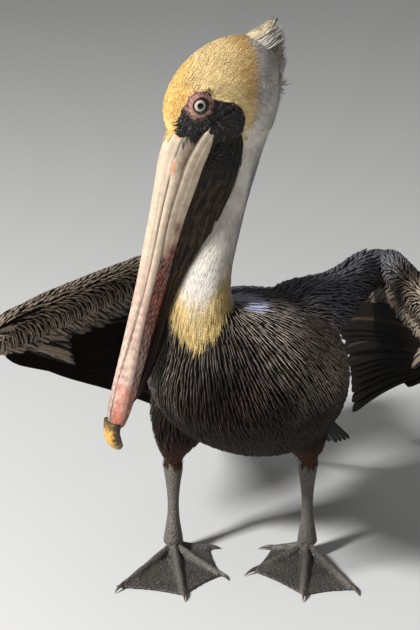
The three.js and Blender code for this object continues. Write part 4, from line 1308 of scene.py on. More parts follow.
def vanes(root, middle, tip, up0, up1, half, kind="lance", rings_at=(0.03, 0.2, 0.42, 0.66, 0.88),
          thick=0.22, roll=8):
    """Small feathers as closed lofts. Each one's middle line is a parabola through its root, middle and
    tip; its section is a flat triangle whose ridge is the shaft, turned a little about the line so that
    neighbours overlap like tiles. Both ends close to a point. Gives corners, triangles and the vane's own
    UV places."""
    n = len(root)
    s = np.array(rings_at)
    control = 2 * middle - (root + tip) / 2
    p, q = s[None, :, None], 1 - s[None, :, None]
    line = q * q * root[:, None] + 2 * p * q * control[:, None] + p * p * tip[:, None]
    tangent = unit(2 * q * (control - root)[:, None] + 2 * p * (tip - control)[:, None])
    up = mix(up0[:, None], up1[:, None], p)
    up = unit(up - tangent * (up * tangent).sum(-1, keepdims=True))
    side = np.cross(up, tangent)
    turn = math.radians(roll)
    flat = side * math.cos(turn) + up * math.sin(turn)
    reach = np.asarray(half)[:, None] * profile(kind, s)[None]
    left = line - flat * reach[..., None]
    right = line + flat * reach[..., None]
    ridge = line + up * (thick * 0.5 + thick * reach)[..., None]
    ring = np.stack([left, ridge, right], 2)  # feather, ring, point, xyz
    k = len(s)
    corners = np.concatenate([ring.reshape(n, -1, 3), root[:, None], tip[:, None]], 1)
    i = np.arange(k * 3).reshape(k, 3)
    j = np.roll(i, -1, 1)
    one = np.concatenate([
        np.stack([i[:-1], j[:-1], j[1:]], -1).reshape(-1, 3),
        np.stack([i[:-1], j[1:], i[1:]], -1).reshape(-1, 3),
        np.stack([np.full(3, k * 3), j[0], i[0]], 1),
        np.stack([np.full(3, k * 3 + 1), i[-1], j[-1]], 1),
    ])
    one = outward(corners[0], one)
    faces = (one[None] + (np.arange(n) * corners.shape[1])[:, None, None]).reshape(-1, 3)
    across = np.tile([0.0, 0.5, 1.0], k)
    places = np.stack([np.append(across, [0.5, 0.5]), np.append(np.repeat(s, 3), [0.0, 1.0])], 1)
    facing = np.concatenate([np.repeat(up, 3, 1), up0[:, None], up1[:, None]], 1)
    return corners.reshape(-1, 3), faces, np.tile(places, (n, 1)), corners.shape[1], facing.reshape(-1, 3)


def broad_vanes(root, middle, tip, up0, up1, half, lead=0.7, camber=0.16, roll=7, rows=13,
                thick=0.5, tapers=0.5):
    """Large feathers as closed lofts: seven points across the top with a raised shaft, five below. The
    leading side is narrower, the vane curves down towards its edges, and its end is round."""
    n = len(root)
    s = np.linspace(0.015, 0.985, rows)
    control = 2 * middle - (root + tip) / 2
    p, q = s[None, :, None], 1 - s[None, :, None]
    line = q * q * root[:, None] + 2 * p * q * control[:, None] + p * p * tip[:, None]
    tangent = unit(2 * q * (control - root)[:, None] + 2 * p * (tip - control)[:, None])
    up = mix(up0[:, None], up1[:, None], p)
    up = unit(up - tangent * (up * tangent).sum(-1, keepdims=True))
    side = np.cross(up, tangent)
    turn = math.radians(roll)
    flat, over = side * math.cos(turn) + up * math.sin(turn), up * math.cos(turn) - side * math.sin(turn)
    reach = np.asarray(half)[:, None] * (opening(s, 0.3, 0.16) * mix(1, tapers, s**3))[None]
    across = np.array([-1, -0.62, -0.13, 0, 0.13, 0.62, 1, 0.94, 0.5, 0, -0.5, -0.94])
    out = np.where(across > 0, across, across * lead)
    height = -camber * across**2
    lift = np.array([0, 0.25, 0.3, 1.1, 0.3, 0.25, 0, -0.3, -0.4, -0.6, -0.4, -0.3])
    x = reach[..., None] * out
    z = reach[..., None] * height + thick * lift * np.minimum(1, reach / 3)[..., None]
    corners = line[:, :, None] + flat[:, :, None] * x[..., None] + over[:, :, None] * z[..., None]
    c = len(across)
    corners = np.concatenate([corners.reshape(n, -1, 3), root[:, None], tip[:, None]], 1)
    i = np.arange(rows * c).reshape(rows, c)
    j = np.roll(i, -1, 1)
    one = np.concatenate([
        np.stack([i[:-1], j[:-1], j[1:]], -1).reshape(-1, 3),
        np.stack([i[:-1], j[1:], i[1:]], -1).reshape(-1, 3),
        np.stack([np.full(c, rows * c), j[0], i[0]], 1),
        np.stack([np.full(c, rows * c + 1), i[-1], j[-1]], 1),
    ])
    one = outward(corners[0], one)
    faces = (one[None] + (np.arange(n) * corners.shape[1])[:, None, None]).reshape(-1, 3)
    places = np.stack([np.append(np.tile(across / 2 + 0.5, rows), [0.5, 0.5]),
                       np.append(np.repeat(s, c), [0, 1])], 1)
    facing = up[:, :, None] * np.where(lift < 0, -1.0, 1.0)[None, None, :, None]
    facing = np.concatenate([facing.reshape(n, -1, 3), up0[:, None], up1[:, None]], 1)
    return corners.reshape(-1, 3), faces, np.tile(places, (n, 1)), corners.shape[1], facing.reshape(-1, 3)


def bricks(form, row_gap, gap, inset, low, high, rng):
    """Places on a form in rows round it: rows row_gap apart along it, places gap apart round it, every
    other row moved by half a gap. Gives t, angle and the point of each."""
    t = np.linspace(low, high, 600)
    angle = np.linspace(0, 2 * np.pi, 129)
    tt, aa = np.meshgrid(t, angle, indexing="ij")
    grid = form(tt, aa, inset)
    steps = np.linalg.norm(np.diff(grid, axis=0), axis=-1)
    way = np.concatenate([[0], np.cumsum(np.percentile(steps, 75, axis=1))])
    rows = np.interp(np.arange(row_gap / 2, way[-1], row_gap), way, t)
    round_steps = np.linalg.norm(np.diff(grid, axis=1), axis=-1)
    spots = []
    for k, row in enumerate(rows):
        lengths = round_steps[min(int((row - low) / (high - low) * 599), 599)]
        total = np.concatenate([[0], np.cumsum(lengths)])
        count = max(3, int(round(total[-1] / gap)))
        turn = np.interp((np.arange(count) + 0.5 * (k % 2)) / count * total[-1], total, angle)
        spots.append(np.stack([np.full(count, row), turn], 1))
    spots = np.concatenate(spots)
    spots += rng.normal(size=spots.shape) * (0.2 * row_gap / way[-1] * (high - low), 0.14 * gap / 60)
    spots[:, 0] = np.clip(spots[:, 0], low, high)
    return spots[:, 0], spots[:, 1], form(spots[:, 0], spots[:, 1], inset)


def on_skin(tree, points):
    """The nearest place on the skin to each point, with the skin's normal there."""
    found = [tree.find_nearest(p)[:2] for p in points.tolist()]
    at = np.array([f[0] for f in found])
    normal = np.array([f[1] for f in found])
    return at, normal


def lay(tree, root, normal, flow, length, lift, rng, spread=0.14, back=0.0):
    """Where feathers lie that start at roots on the skin and follow a flow over it: the middle and the
    tip are brought to the skin and then raised, so that the feathers hug the body. back moves each one
    towards its root by that share of its length."""
    n = len(root)
    if back:
        along = unit(flow - normal * (flow * normal).sum(1, keepdims=True))
        root, normal = on_skin(tree, root - along * length * back)
    flow = flow - normal * (flow * normal).sum(1, keepdims=True)
    flow = unit(unit(flow) + rng.normal(size=(n, 3)) * spread * 0.5)
    flow = unit(flow - normal * (flow * normal).sum(1, keepdims=True))
    length = length * (1 + spread * rng.normal(size=n).clip(-2, 2))[:, None]
    middle, mid_up = on_skin(tree, root + flow * length * 0.5)
    tip, tip_up = on_skin(tree, middle + unit(middle - root) * length * 0.5)
    rise = (lift * (1 + 0.12 * rng.normal(size=n).clip(-2, 2)))[:, None]
    start = root - normal * 0.6
    return start, middle + mid_up * rise * 0.55, tip + tip_up * rise, normal, tip_up


def shift_up(value, n):
    return np.broadcast_to(np.asarray(value, float), (n,)).copy()


class Coat:
    """Feathers gathered for one piece."""

    def __init__(self):
        self.parts, self.lines, self.tones, self.vane, self.bake = [], [], [], [], []

    def add(self, made, tones, where, calm=0.6):
        """Feathers made by vanes or broad_vanes, with each one's ground, streak, strength and place in
        the skin's unwrap. calm is the share of the body's own roundness in the feathers' shading, turned
        over below them."""
        corners, faces, places, each, facing = made
        a, b, c = (corners[faces[:, k]] for k in range(3))
        out = np.cross(b - a, c - a)
        under = (out * facing[faces].sum(1)).sum(-1) < 0
        facing = facing[faces] * np.where(under, -1, 1)[:, None, None]
        self.parts.append((corners, faces))
        self.lines.append(unit(mix(normals_of(corners, faces)[faces], facing, calm)).reshape(-1, 3))
        self.tones.append([np.repeat(tone, each, 0) for tone in tones])
        self.vane.append(places)
        patch = (places - 0.5) * BAKE_PATCH
        self.bake.append(np.repeat(where, each, 0) * (1 - 2 * BAKE_PATCH) + BAKE_PATCH + patch)

    def finish(self, name, slot, material, replaced=()):
        corners, faces = joined(self.parts)
        ground, streak, silver = (np.concatenate([t[k] for t in self.tones]) for k in range(3))
        o = solid(
            name, corners, faces, slot, [material], replaced,
            {"ground": ground, "streak": streak, "silver": silver[:, None] * np.ones(3)},
            {"OFBake": np.concatenate(self.bake), "vane": np.concatenate(self.vane)},
        )
        o.data.normals_split_custom_set(np.concatenate(self.lines).tolist())


def tones_at(points, rng, change=0.08):
    """The markings at feathers, each feather a little lighter or darker than its neighbours."""
    ground, streak, strength = markings(points)
    own = 1 + change * rng.normal(size=(len(points), 1)).clip(-2, 2)
    return ground * own, streak * own, strength * (1 + 0.15 * rng.normal(size=len(points))).clip(0.4, 1.4)


NECK_FOOT = np.array([-42.0, -112, 352])  # the breast's feathers spread from here


def body_flow(points):
    """Down and back from the neck's foot over the breast, then straight back along the trunk."""
    away = points - NECK_FOOT
    far = ramp(np.linalg.norm(away, axis=1), 40, 190)[:, None]
    back = -heading(TRUNK_TURN, TRUNK_PITCH)
    return unit(mix(unit(away), back, 0.75 * far) + (0, 0, -0.12))


def neck_flow(points):
    rows = np.array(NECK_STATIONS)
    slope = np.gradient(rows[:, :3], axis=0)
    line = np.stack([np.interp(points[:, 2], rows[:, 2], slope[:, k]) for k in range(3)], 1)
    return -unit(line)


def head_flow(points):
    """Back over the crown from the bill's root, turning down behind the cheeks."""
    away = points - HEAD.at(56, 0, -48)
    ahead = HEAD.of(points).T[0]
    down = ramp(-ahead, -8, 45)[:, None] * (HEAD.rows[2] * -0.9)
    return unit(away) + down


def bird_roots(tree, form, row_gap, gap, inset, low, high, rng, moved=3.5):
    """Brick places on a form that lie on the skin's outside."""
    t, angle, points = bricks(form, row_gap, gap, inset, low, high, rng)
    at, normal = on_skin(tree, points)
    keep = np.linalg.norm(at - points, axis=1) < moved
    return t[keep], angle[keep] / (2 * np.pi) % 1, at[keep], normal[keep]


def fronts(torso, ring, flow_at, step, gap, count):
    """Rows of places over a body: a closed ring moves along the flow by a step at a time and is brought
    back to the surface, so each place follows its own line of flow. Where two neighbours part by more
    than one and a half gaps a new place comes between them, and where they meet one goes. Gives the
    places and their row numbers."""
    points = ring
    places, rows = [], []
    for row in range(count):
        at, normal = on_skin(torso, points)
        flow = flow_at(at)
        flow = flow - normal * (flow * normal).sum(1, keepdims=True)
        alive = np.linalg.norm(flow, axis=1) > 0.3
        at, normal, flow = at[alive], normal[alive], unit(flow[alive])
        if len(at) < 8:
            break
        places.append(at)
        rows.append(np.full(len(at), row))
        moved = at + flow * step
        near = np.linalg.norm(np.roll(moved, -1, 0) - moved, axis=1) < 3 * gap
        middle = (np.roll(moved, 1, 0) + np.roll(moved, -1, 0)) / 2
        calm = near & np.roll(near, 1)
        moved = np.where(calm[:, None], mix(moved, middle, 0.25), moved)
        apart = np.linalg.norm(np.roll(moved, -1, 0) - moved, axis=1)
        close = apart < 0.62 * gap
        close &= ~np.roll(close, 1)
        between = (apart > 1.5 * gap) & (apart < 12 * gap)
        both = np.stack([moved, (moved + np.roll(moved, -1, 0)) / 2], 1)
        keep = np.stack([~close, between], 1)
        points = both[keep]
    return np.concatenate(places), np.concatenate(rows)


def make_body_feathers(tree):
    """The coat of the trunk, the thighs and the neck's foot: narrow pointed feathers, dark with a silver
    streak, in rows that spread from the neck's foot and run back to the tail."""
    rng = np.random.default_rng(11)
    length, gap, depth = size("body_feather"), size("body_gap"), size("coat_depth")
    forms = [closed(rings(trunk, 60, 64, depth + 1.5)), closed(rings(neck, 60, 48, NECK_COAT))]
    mould = remeshed(forms, MOULD_GRAIN, 8)
    torso = BVHTree.FromPolygons(mould[0].tolist(), mould[1].tolist())
    angle = np.linspace(0, 2 * np.pi, 70, endpoint=False)
    ring = neck(np.full(70, 0.27), angle, NECK_COAT)
    at, _ = fronts(torso, ring, body_flow, length * 0.36, gap, 60)
    skin_at, normal = on_skin(tree, at)
    hem, _, reach = neck_hem(skin_at)
    keep = (np.linalg.norm(skin_at - at, axis=1) < 3.0) & ((skin_at[:, 2] < hem + 6) | (reach > 49))
    at, normal = skin_at[keep] + rng.normal(size=(keep.sum(), 3)) * 0.1 * gap, normal[keep]
    n = len(at)
    close = 1 - ramp(np.linalg.norm(at - NECK_FOOT, axis=1), 20, 90)
    long = length * (1 - 0.2 * close) * (1 + 0.08 * rng.normal(size=n)).clip(0.7, 1.3)
    lift = depth - 0.4 - 1.6 * pale_patch(at)
    start, middle, tip, up0, up1 = lay(tree, at, normal, body_flow(at), long[:, None], lift, rng, 0.07)
    half = 0.7 * gap * (1 + 0.1 * rng.normal(size=n)).clip(0.7, 1.3)
    along, out, up = TRUNK.of(at).T
    where = np.stack([0.5 + along / 420, 0.5 + np.arctan2(out, up) / 7], 1).clip(0, 1)
    chest = at[:, 2] > BREAST_FOOT
    tones = tones_at(middle, rng)
    for part in (chest, ~chest):
        shape = vanes(*(v[part] for v in (start, middle, tip, up0, up1, half)),
                      rings_at=(0.04, 0.3, 0.62, 0.88))
        coat = Coat()
        coat.add(shape, [v[part] for v in tones], where[part], 0.75)
        if part is chest:
            coat.finish("breast_feathers", "plumage", feather_material("breast_vane", 0.65, 0.4, 22.0))
    for k, s in enumerate(SIGN):
        t, angle, at, normal = bird_roots(tree, thigh[s], 7.0, 3.4, depth, 0.02, 0.97, rng)
        n = len(at)
        low = 1 - ramp(at[:, 2], 112, 150)
        flow = np.broadcast_to([0, 0.12, -1.0], at.shape)
        long = mix(0.85, 0.42, low) * length
        lift = mix(depth, 1.2, low)
        start, middle, tip, up0, up1 = lay(tree, at, normal, flow, long[:, None], lift, rng, 0.1)
        coat.add(vanes(start, middle, tip, up0, up1, np.full(n, 2.1)), tones_at(middle, rng),
                 np.stack([angle * 0.2 + 0.3 * k + 0.1, t * 0.1], 1), 0.6)
    coat.finish("body_feathers", "plumage", feather_material("body_vane", 0.65, 0.38, 22.0))


def make_neck_feathers(tree):
    """The short velvety coat of the neck, and the long gold wisps that it ends in over the breast."""
    rng = np.random.default_rng(12)
    gap, depth = size("neck_gap"), size("coat_depth")
    t, angle, at, normal = bird_roots(tree, neck, 2.4 * gap, gap, NECK_COAT, 0.12, 0.985, rng, 2.5)
    keep = (at[:, 2] > neck_hem(at)[0] + 16) & (bareness(at) < 0.5)
    t, angle, at, normal = t[keep], angle[keep], at[keep], normal[keep]
    n = len(at)
    long = size("neck_feather")
    made = lay(tree, at, normal, neck_flow(at), np.full((n, 1), long), shift_up(0.6, n), rng, 0.04)
    half = 0.78 * gap * (1 + 0.1 * rng.normal(size=n)).clip(0.7, 1.3)
    coat = Coat()
    coat.add(vanes(*made, half, "hair", thick=0.08, roll=2), tones_at(made[1], rng, 0.012),
             np.stack([angle, t], 1), 0.96)

    t, angle, at, normal = bird_roots(tree, neck, 2.2, 1.3, NECK_COAT, 0.18, 0.55, rng, 3.5)
    hem, front, _ = neck_hem(at)
    long = mix(13, 27, ramp(front, 0.4, 1.0)) * (1 + 0.16 * rng.normal(size=len(at))).clip(0.6, 1.4)
    over = at[:, 2] - 0.8 * long - hem + 2.5 * rng.normal(size=len(at))
    keep = (over > 0) & (over < 48 * rng.uniform(0.3, 1.0, len(at))) & (front > 0.1)
    t, angle, at, normal, hem, front, long = (v[keep] for v in (t, angle, at, normal, hem, front, long))
    n = len(at)
    low = 1 - ramp(over[keep], 0, 30)
    flow = neck_flow(at) + unit(at - NECK_FOOT + (0, 0, 60)) * 0.1
    made = lay(tree, at, normal, flow, long[:, None], mix(0.7, depth - 1.6, low), rng, 0.09)
    share = ramp(60 - (at[:, 2] - 0.7 * long - hem) + 6 * wobble(at, 12, 8), 0, 46) * ramp(front, 0.1, 0.5)
    gold = layer(all_over("white", at), hue("yellow"), share)
    gold = gold * (1 + 0.04 * rng.normal(size=(n, 1)))
    coat.add(vanes(*made, 0.55 * (1 + 0.2 * rng.normal(size=n)).clip(0.6, 1.4), "lance",
                   (0.03, 0.25, 0.5, 0.75, 0.92)),
             (gold, gold, np.zeros(n)), np.stack([angle, t], 1), 0.96)
    coat.finish("neck_feathers", "neck", feather_material("neck_vane", 0.7, 0.5, 10.0))


def make_head_feathers(tree):
    """Hair-fine feathers over the crown, the cheeks and the chin's sides, shorter round the bill and the
    eyes."""
    rng = np.random.default_rng(13)
    gap, depth = size("head_gap"), size("head_depth")
    t, angle, at, normal = bird_roots(tree, skull, 2.7 * gap, gap, depth, 0.02, 0.985, rng, 2.5)
    keep = bareness(at) < 0.5
    t, angle, at, normal = t[keep], angle[keep], at[keep], normal[keep]
    n = len(at)
    ahead, aside, above = HEAD.of(at).T
    rim = outside(FACE_OUTLINE, ahead, above)
    long = size("head_feather") * mix(0.55, 1.0, ramp(rim, 0, 16)) * mix(1, 1.3, ramp(-ahead, -5, 35))
    lift = depth * mix(0.16, 0.26, ramp(rim, 0, 8))
    made = lay(tree, at, normal, head_flow(at), long[:, None], lift, rng, 0.1)
    half = 0.56 * gap * (1 + 0.2 * rng.normal(size=n)).clip(0.6, 1.5)
    coat = Coat()
    shape = vanes(*made, half, "hair", (0.05, 0.35, 0.75), 0.16, 4)
    coat.add(shape, tones_at(made[1], rng, 0.09), np.stack([angle, t], 1), 0.93)
    along, aside, above, _ = beak_part(UPPER, ROOF, 81, 250, -16, 285, False)
    horn = BVHTree.FromPolygons(*(part.tolist() for part in closed(BILL.at(along, aside, above))))
    n = 500
    aside = rng.uniform(-12, 12, n)
    at, normal = on_skin(horn, BILL.at(rng.uniform(-15.5, -11, n), aside, np.full(n, 34.0)))
    reach = 3 + 8 * np.exp(-(((np.abs(aside) - 8) / 3) ** 2))
    made = lay(horn, at, normal, np.broadcast_to(BILL.rows[0], at.shape), reach[:, None],
               shift_up(0.7, n), rng, 0.1)
    tone = hue("crown_pale") * (1 + 0.05 * rng.normal(size=(n, 1)))
    coat.add(vanes(*made, np.full(n, 0.55), "hair", (0.05, 0.35, 0.75), 0.16, 4), (tone, tone, np.zeros(n)),
             np.stack([0.5 + aside / 90, np.full(n, 0.01)], 1), 0.93)
    coat.finish("head_feathers", "crown", feather_material("crown_vane", 0.6, 0.5, 5.0))


def wing_points(side):
    """The wing's joints and tips as arrays, and the direction of its outer face."""
    w = {key: np.array(value, float) for key, value in WINGS[side].items()}
    face = unit(np.cross(w["elbow"] - w["wrist"], w["tip"] - w["wrist"]))
    return w, face * (1 if face[0] * SIGN[side] > 0 else -1)


def plain(ground, streak, strength, n, rng):
    """The same markings for each of n feathers, but for small differences."""
    own = 1 + 0.07 * rng.normal(size=(n, 1)).clip(-2, 2)
    return ground * own, streak * own, np.full(n, float(strength))


def hand_axes(w, out):
    """Along a wing's hand from the wrist, and up across it."""
    hand = unit(w["tip"] - w["wrist"])
    rise = np.cross(out, hand)
    rise = rise * np.sign(rise[2])
    return hand, rise


def make_flight_feathers(side):
    """A wing's secondaries, which hang from the forearm, its primaries, which fold back under them from
    the wrist, and the tertials at the elbow."""
    rng = np.random.default_rng(21 if side == "left" else 22)
    w, out = wing_points(side)
    flight, quill = hue("flight"), hue("quill")
    coat = Coat()

    def put(root, middle, tip, half, where, **shape):
        n = len(root)
        facing = np.broadcast_to(out, root.shape)
        coat.add(broad_vanes(root, middle, tip, facing, facing, half, **shape),
                 plain(flight, quill, 0.9, n, rng), where)

    n = 20
    k = (np.arange(n) + 0.5) / n
    root = mix(w["elbow"], w["wrist"], (0.96 * k + 0.02)[:, None]) + (0, 0, -8)
    tip = mix(w["last"], w["first"], k[:, None]) + np.stack([0 * k, 0 * k, 14 * np.sin(np.pi * k)], 1)
    tip += rng.normal(size=(n, 3)) * (0.6, 3, 2.5)
    middle = (root + tip) / 2 + out * 3.5
    put(root, middle, tip, np.full(n, 19.0), np.stack([k * 0.5, 0 * k + 0.3], 1), roll=7 * SIGN[side],
        tapers=0.8, lead=0.8, camber=0.1)

    n = 12
    f = np.arange(n) / (n - 1)
    hand, rise = hand_axes(w, out)
    root = w["wrist"] + hand * mix(84, 16, f)[:, None] + rise * (9 * f)[:, None] + (0, 0, -6)
    tip = mix(w["tip"], w["last"], (0.85 * f**0.9)[:, None]) + rng.normal(size=(n, 3)) * (0.5, 2, 2)
    tip -= (tip - root) * (0.10 * np.sin(np.pi * f * 0.9))[:, None]
    middle = mix(root, tip, 0.5) + rise * mix(8, 14, f)[:, None] - out * mix(1, 5, f)[:, None]
    put(root, middle, tip, mix(13, 19, f), np.stack([f * 0.3 + 0.6, 0 * f + 0.3], 1), roll=5 * SIGN[side],
        lead=0.7, camber=0.08, tapers=0.85, rows=15)

    n = 5
    f = np.arange(n) / (n - 1)
    root = w["elbow"] + np.stack([-SIGN[side] * 4 * f, -22 * f - 6, -6 + 0 * f], 1)
    tip = w["last"] + np.stack([-SIGN[side] * (2 + 10 * f), -30 * f, 10 + 26 * f], 1)
    middle = mix(root, tip, 0.5) + (0, 4, 8) - out * 2
    put(root, middle, tip, mix(14.5, 12, f), np.stack([f * 0.3 + 0.2, 0 * f + 0.7], 1), roll=6 * SIGN[side])

    coat.finish(f"flight_feathers_{side}", "flight",
                feather_material(f"flight_vane_{side}", 0.6, 0.16, 60.0, 0.02),
                [f"wing_{side}_primaries", f"wing_{side}_secondaries"])


def make_wing_coverts(tree, side):
    """The coverts of a wing: small narrow ones over both arm forms, lying back from the wing's leading
    edge, then longer rows that hang over the roots of the flight feathers outside and inside."""
    rng = np.random.default_rng(31 if side == "left" else 32)
    w, out = wing_points(side)
    depth, gap = size("coat_depth"), size("wing_gap")
    coat = Coat()
    for form, high, corner in ((forearm[side], 0.99, 0.0), (upper_arm[side], 0.97, 0.3)):
        row_gap, own_gap = (gap, 2.0 * gap) if form is forearm[side] else (2.2 * gap, gap)
        t, angle, at, normal = bird_roots(tree, form, row_gap, own_gap, depth, 0.02, high, rng)
        n = len(at)
        if form is forearm[side]:
            top = ramp(normal[:, 2], 0.1, 0.7)[:, None]
            flow = out * 0.9 + (0, 0.35, -1) + unit(w["elbow"] - w["wrist"]) * 2.2 * top
        else:
            flow = np.broadcast_to(unit(w["elbow"] - w["shoulder"]) + (0, 0, -0.4), at.shape)
        long = size("wing_feather") * (1 + 0.12 * wobble(at, 40, 7))
        lift = mix(depth - 0.6, 2.2, ramp(normal[:, 2], 0.1, 0.6))
        made = lay(tree, at, normal, flow, long[:, None], lift, rng, 0.1, 0.3)
        half = 0.64 * gap * (1 + 0.12 * rng.normal(size=n)).clip(0.7, 1.3)
        coat.add(vanes(*made, half), tones_at(made[1], rng), np.stack([angle, t * 0.28 + corner], 1), 0.65)
    covert, silver = hue("covert"), hue("covert_silver")
    # face, count, start along the forearm, off the face, down, length as a share of the secondaries, half
    rows = (
        (1, 22, 9, 4, 0.56, 11, 0.55), (1, 30, 12, 0, 0.40, 7.5, 0.65), (1, 38, 14, -5, 0.28, 5, 0.8),
        (-1, 26, 8, 6, 0.52, 8.5, 0.3), (-1, 36, 11, 2, 0.36, 6, 0.45), (-1, 48, 13, -4, 0.24, 3.8, 0.75),
    )
    for sense, n, off, down, share, half, strength in rows:
        k = (np.arange(n) + 0.5) / n
        base = mix(w["elbow"], w["wrist"], k[:, None])
        goal = mix(w["last"], w["first"], k[:, None])
        root = base + out * sense * off * 0.6 + (0, 0, down)
        tip = base + (goal - base) * share + out * sense * off * 0.55 + (0, 0, down)
        tip += rng.normal(size=(n, 3)) * (0.4, 2, 2)
        middle = mix(root, tip, 0.5) + out * sense * (off * 0.45)
        facing = np.broadcast_to(out * sense, root.shape)
        made = broad_vanes(root, middle, tip, facing, facing, np.full(n, half), roll=8 * SIGN[side] * sense,
                           rows=8, camber=0.2, lead=0.85)
        tone = covert * (1 if sense > 0 else 2)
        coat.add(made, plain(tone, silver, strength, n, rng),
                 np.stack([k * 0.9, 0.62 + 0 * k + 0.05 * sense], 1))
    hand, rise = hand_axes(w, out)
    for sense, n, length, half in ((1, 11, 88, 9), (-1, 15, 98, 7.5), (1, 14, 52, 6), (-1, 20, 60, 4.5)):
        f = (np.arange(n) + 0.5) / n
        root = w["wrist"] + hand * mix(-8, 62, f)[:, None] + rise * mix(10, 4, f)[:, None] + out * sense * 6
        tip = root + unit(hand + rise * mix(0.55, -0.02, f)[:, None]) * length
        tip = tip + rng.normal(size=(n, 3)) * (0.3, 2, 2)
        middle = mix(root, tip, 0.5) + out * sense * 3 + rise * 3
        facing = np.broadcast_to(out * sense, root.shape)
        made = broad_vanes(root, middle, tip, facing, facing, np.full(n, half), roll=8 * SIGN[side] * sense,
                           rows=8, camber=0.2, lead=0.85)
        strength = 0.6 if half > 5 else 0.85
        coat.add(made, plain(covert, silver, strength, n, rng),
                 np.stack([f * 0.9, 0.85 + 0 * f + 0.05 * sense], 1))
    coat.finish(f"wing_coverts_{side}", "plumage", feather_material(f"covert_vane_{side}", 0.6, 0.62, 26.0))


def make_back_feathers(tree):
    """The scapulars: long feathers that lie back from each shoulder over the gap between the trunk and
    the wing."""
    rng = np.random.default_rng(41)
    coat = Coat()
    for k, side in enumerate(SIGN):
        w, _ = wing_points(side)
        rows, columns = 13, 18
        a, b = np.meshgrid((np.arange(rows) + 0.5) / rows, (np.arange(columns) + 0.5) / columns,
                           indexing="ij")
        a, b = a.ravel(), b.ravel()
        near = mix(w["shoulder"], w["elbow"], (0.1 + 0.62 * a)[:, None])
        inner = near * (0.35, 1, 1) + (0, 12, 6)
        start = mix(near, inner, b[:, None]) + (0, 0, 30)
        start, normal = on_skin(tree, start)
        n = len(start)
        flow = unit(mix(w["elbow"] - w["shoulder"], -heading(TRUNK_TURN, 24) * 200,
                        (0.35 + 0.5 * b)[:, None]))
        long = mix(24, 36, a)
        made = lay(tree, start, normal, flow, long[:, None], shift_up(4.6, n), rng, 0.08)
        shape = broad_vanes(*made, np.full(n, 3.2), roll=7 * SIGN[side], rows=7, camber=0.22, lead=0.95)
        ground, streak, strength = tones_at(start, rng)
        coat.add(shape, (ground, streak, 0.75 * strength),
                 np.stack([0.05 + 0.4 * b + 0.5 * k, 0.1 + 0.8 * a], 1))
    coat.finish("back_feathers", "plumage", feather_material("back_vane", 0.6, 0.6, 30.0))


def make_tail_feathers(tree):
    """The tail's fan of broad feathers with its coverts above and below."""
    rng = np.random.default_rng(51)
    coat = Coat()
    layers = (  # count, half spread at the root, angle, shortest and longest reach, start, above, half, sense
        (20, 24, 24, 146, 154, -6, 0, 10.5, 1),
        (14, 26, 20, 72, 86, -22, 7, 9, 1),
        (14, 26, 20, 66, 80, -22, -7, 9, -1),
        (18, 34, 18, 36, 50, -40, 14, 7.5, 1), (18, 34, 18, 36, 50, -40, -14, 7.5, -1),
    )
    for n, wide, angle, short, far, start, above, half, sense in layers:
        k = np.linspace(-1, 1, n)
        turn = np.radians(angle) * k
        reach = mix(far, short, k**2) + rng.normal(size=n) * 2
        root = TAIL.at(start, wide * k, above * (1 - 0.35 * k**2))
        tip = TAIL.at(reach * np.cos(turn), reach * np.sin(turn) * 1.08, 5 * np.cos(3 * turn) + 0.35 * above)
        middle = mix(root, tip, 0.5) + TAIL.rows[2] * sense * 2.5
        facing = np.broadcast_to(TAIL.rows[2] * sense, root.shape)
        made = broad_vanes(root, middle, tip, facing, facing, np.full(n, float(half)), roll=6 * sense,
                           rows=11, camber=0.14, lead=0.9)
        strength = 0.55 if above else 0.35
        coat.add(made, plain(hue("mantle") * 0.6, hue("silver"), strength, n, rng),
                 np.stack([0.5 + 0.45 * k, np.full(n, 0.5 + 0.025 * above)], 1))
    coat.finish("tail_feathers", "flight", feather_material("tail_vane", 0.55, 0.4, 40.0), ["tail"])


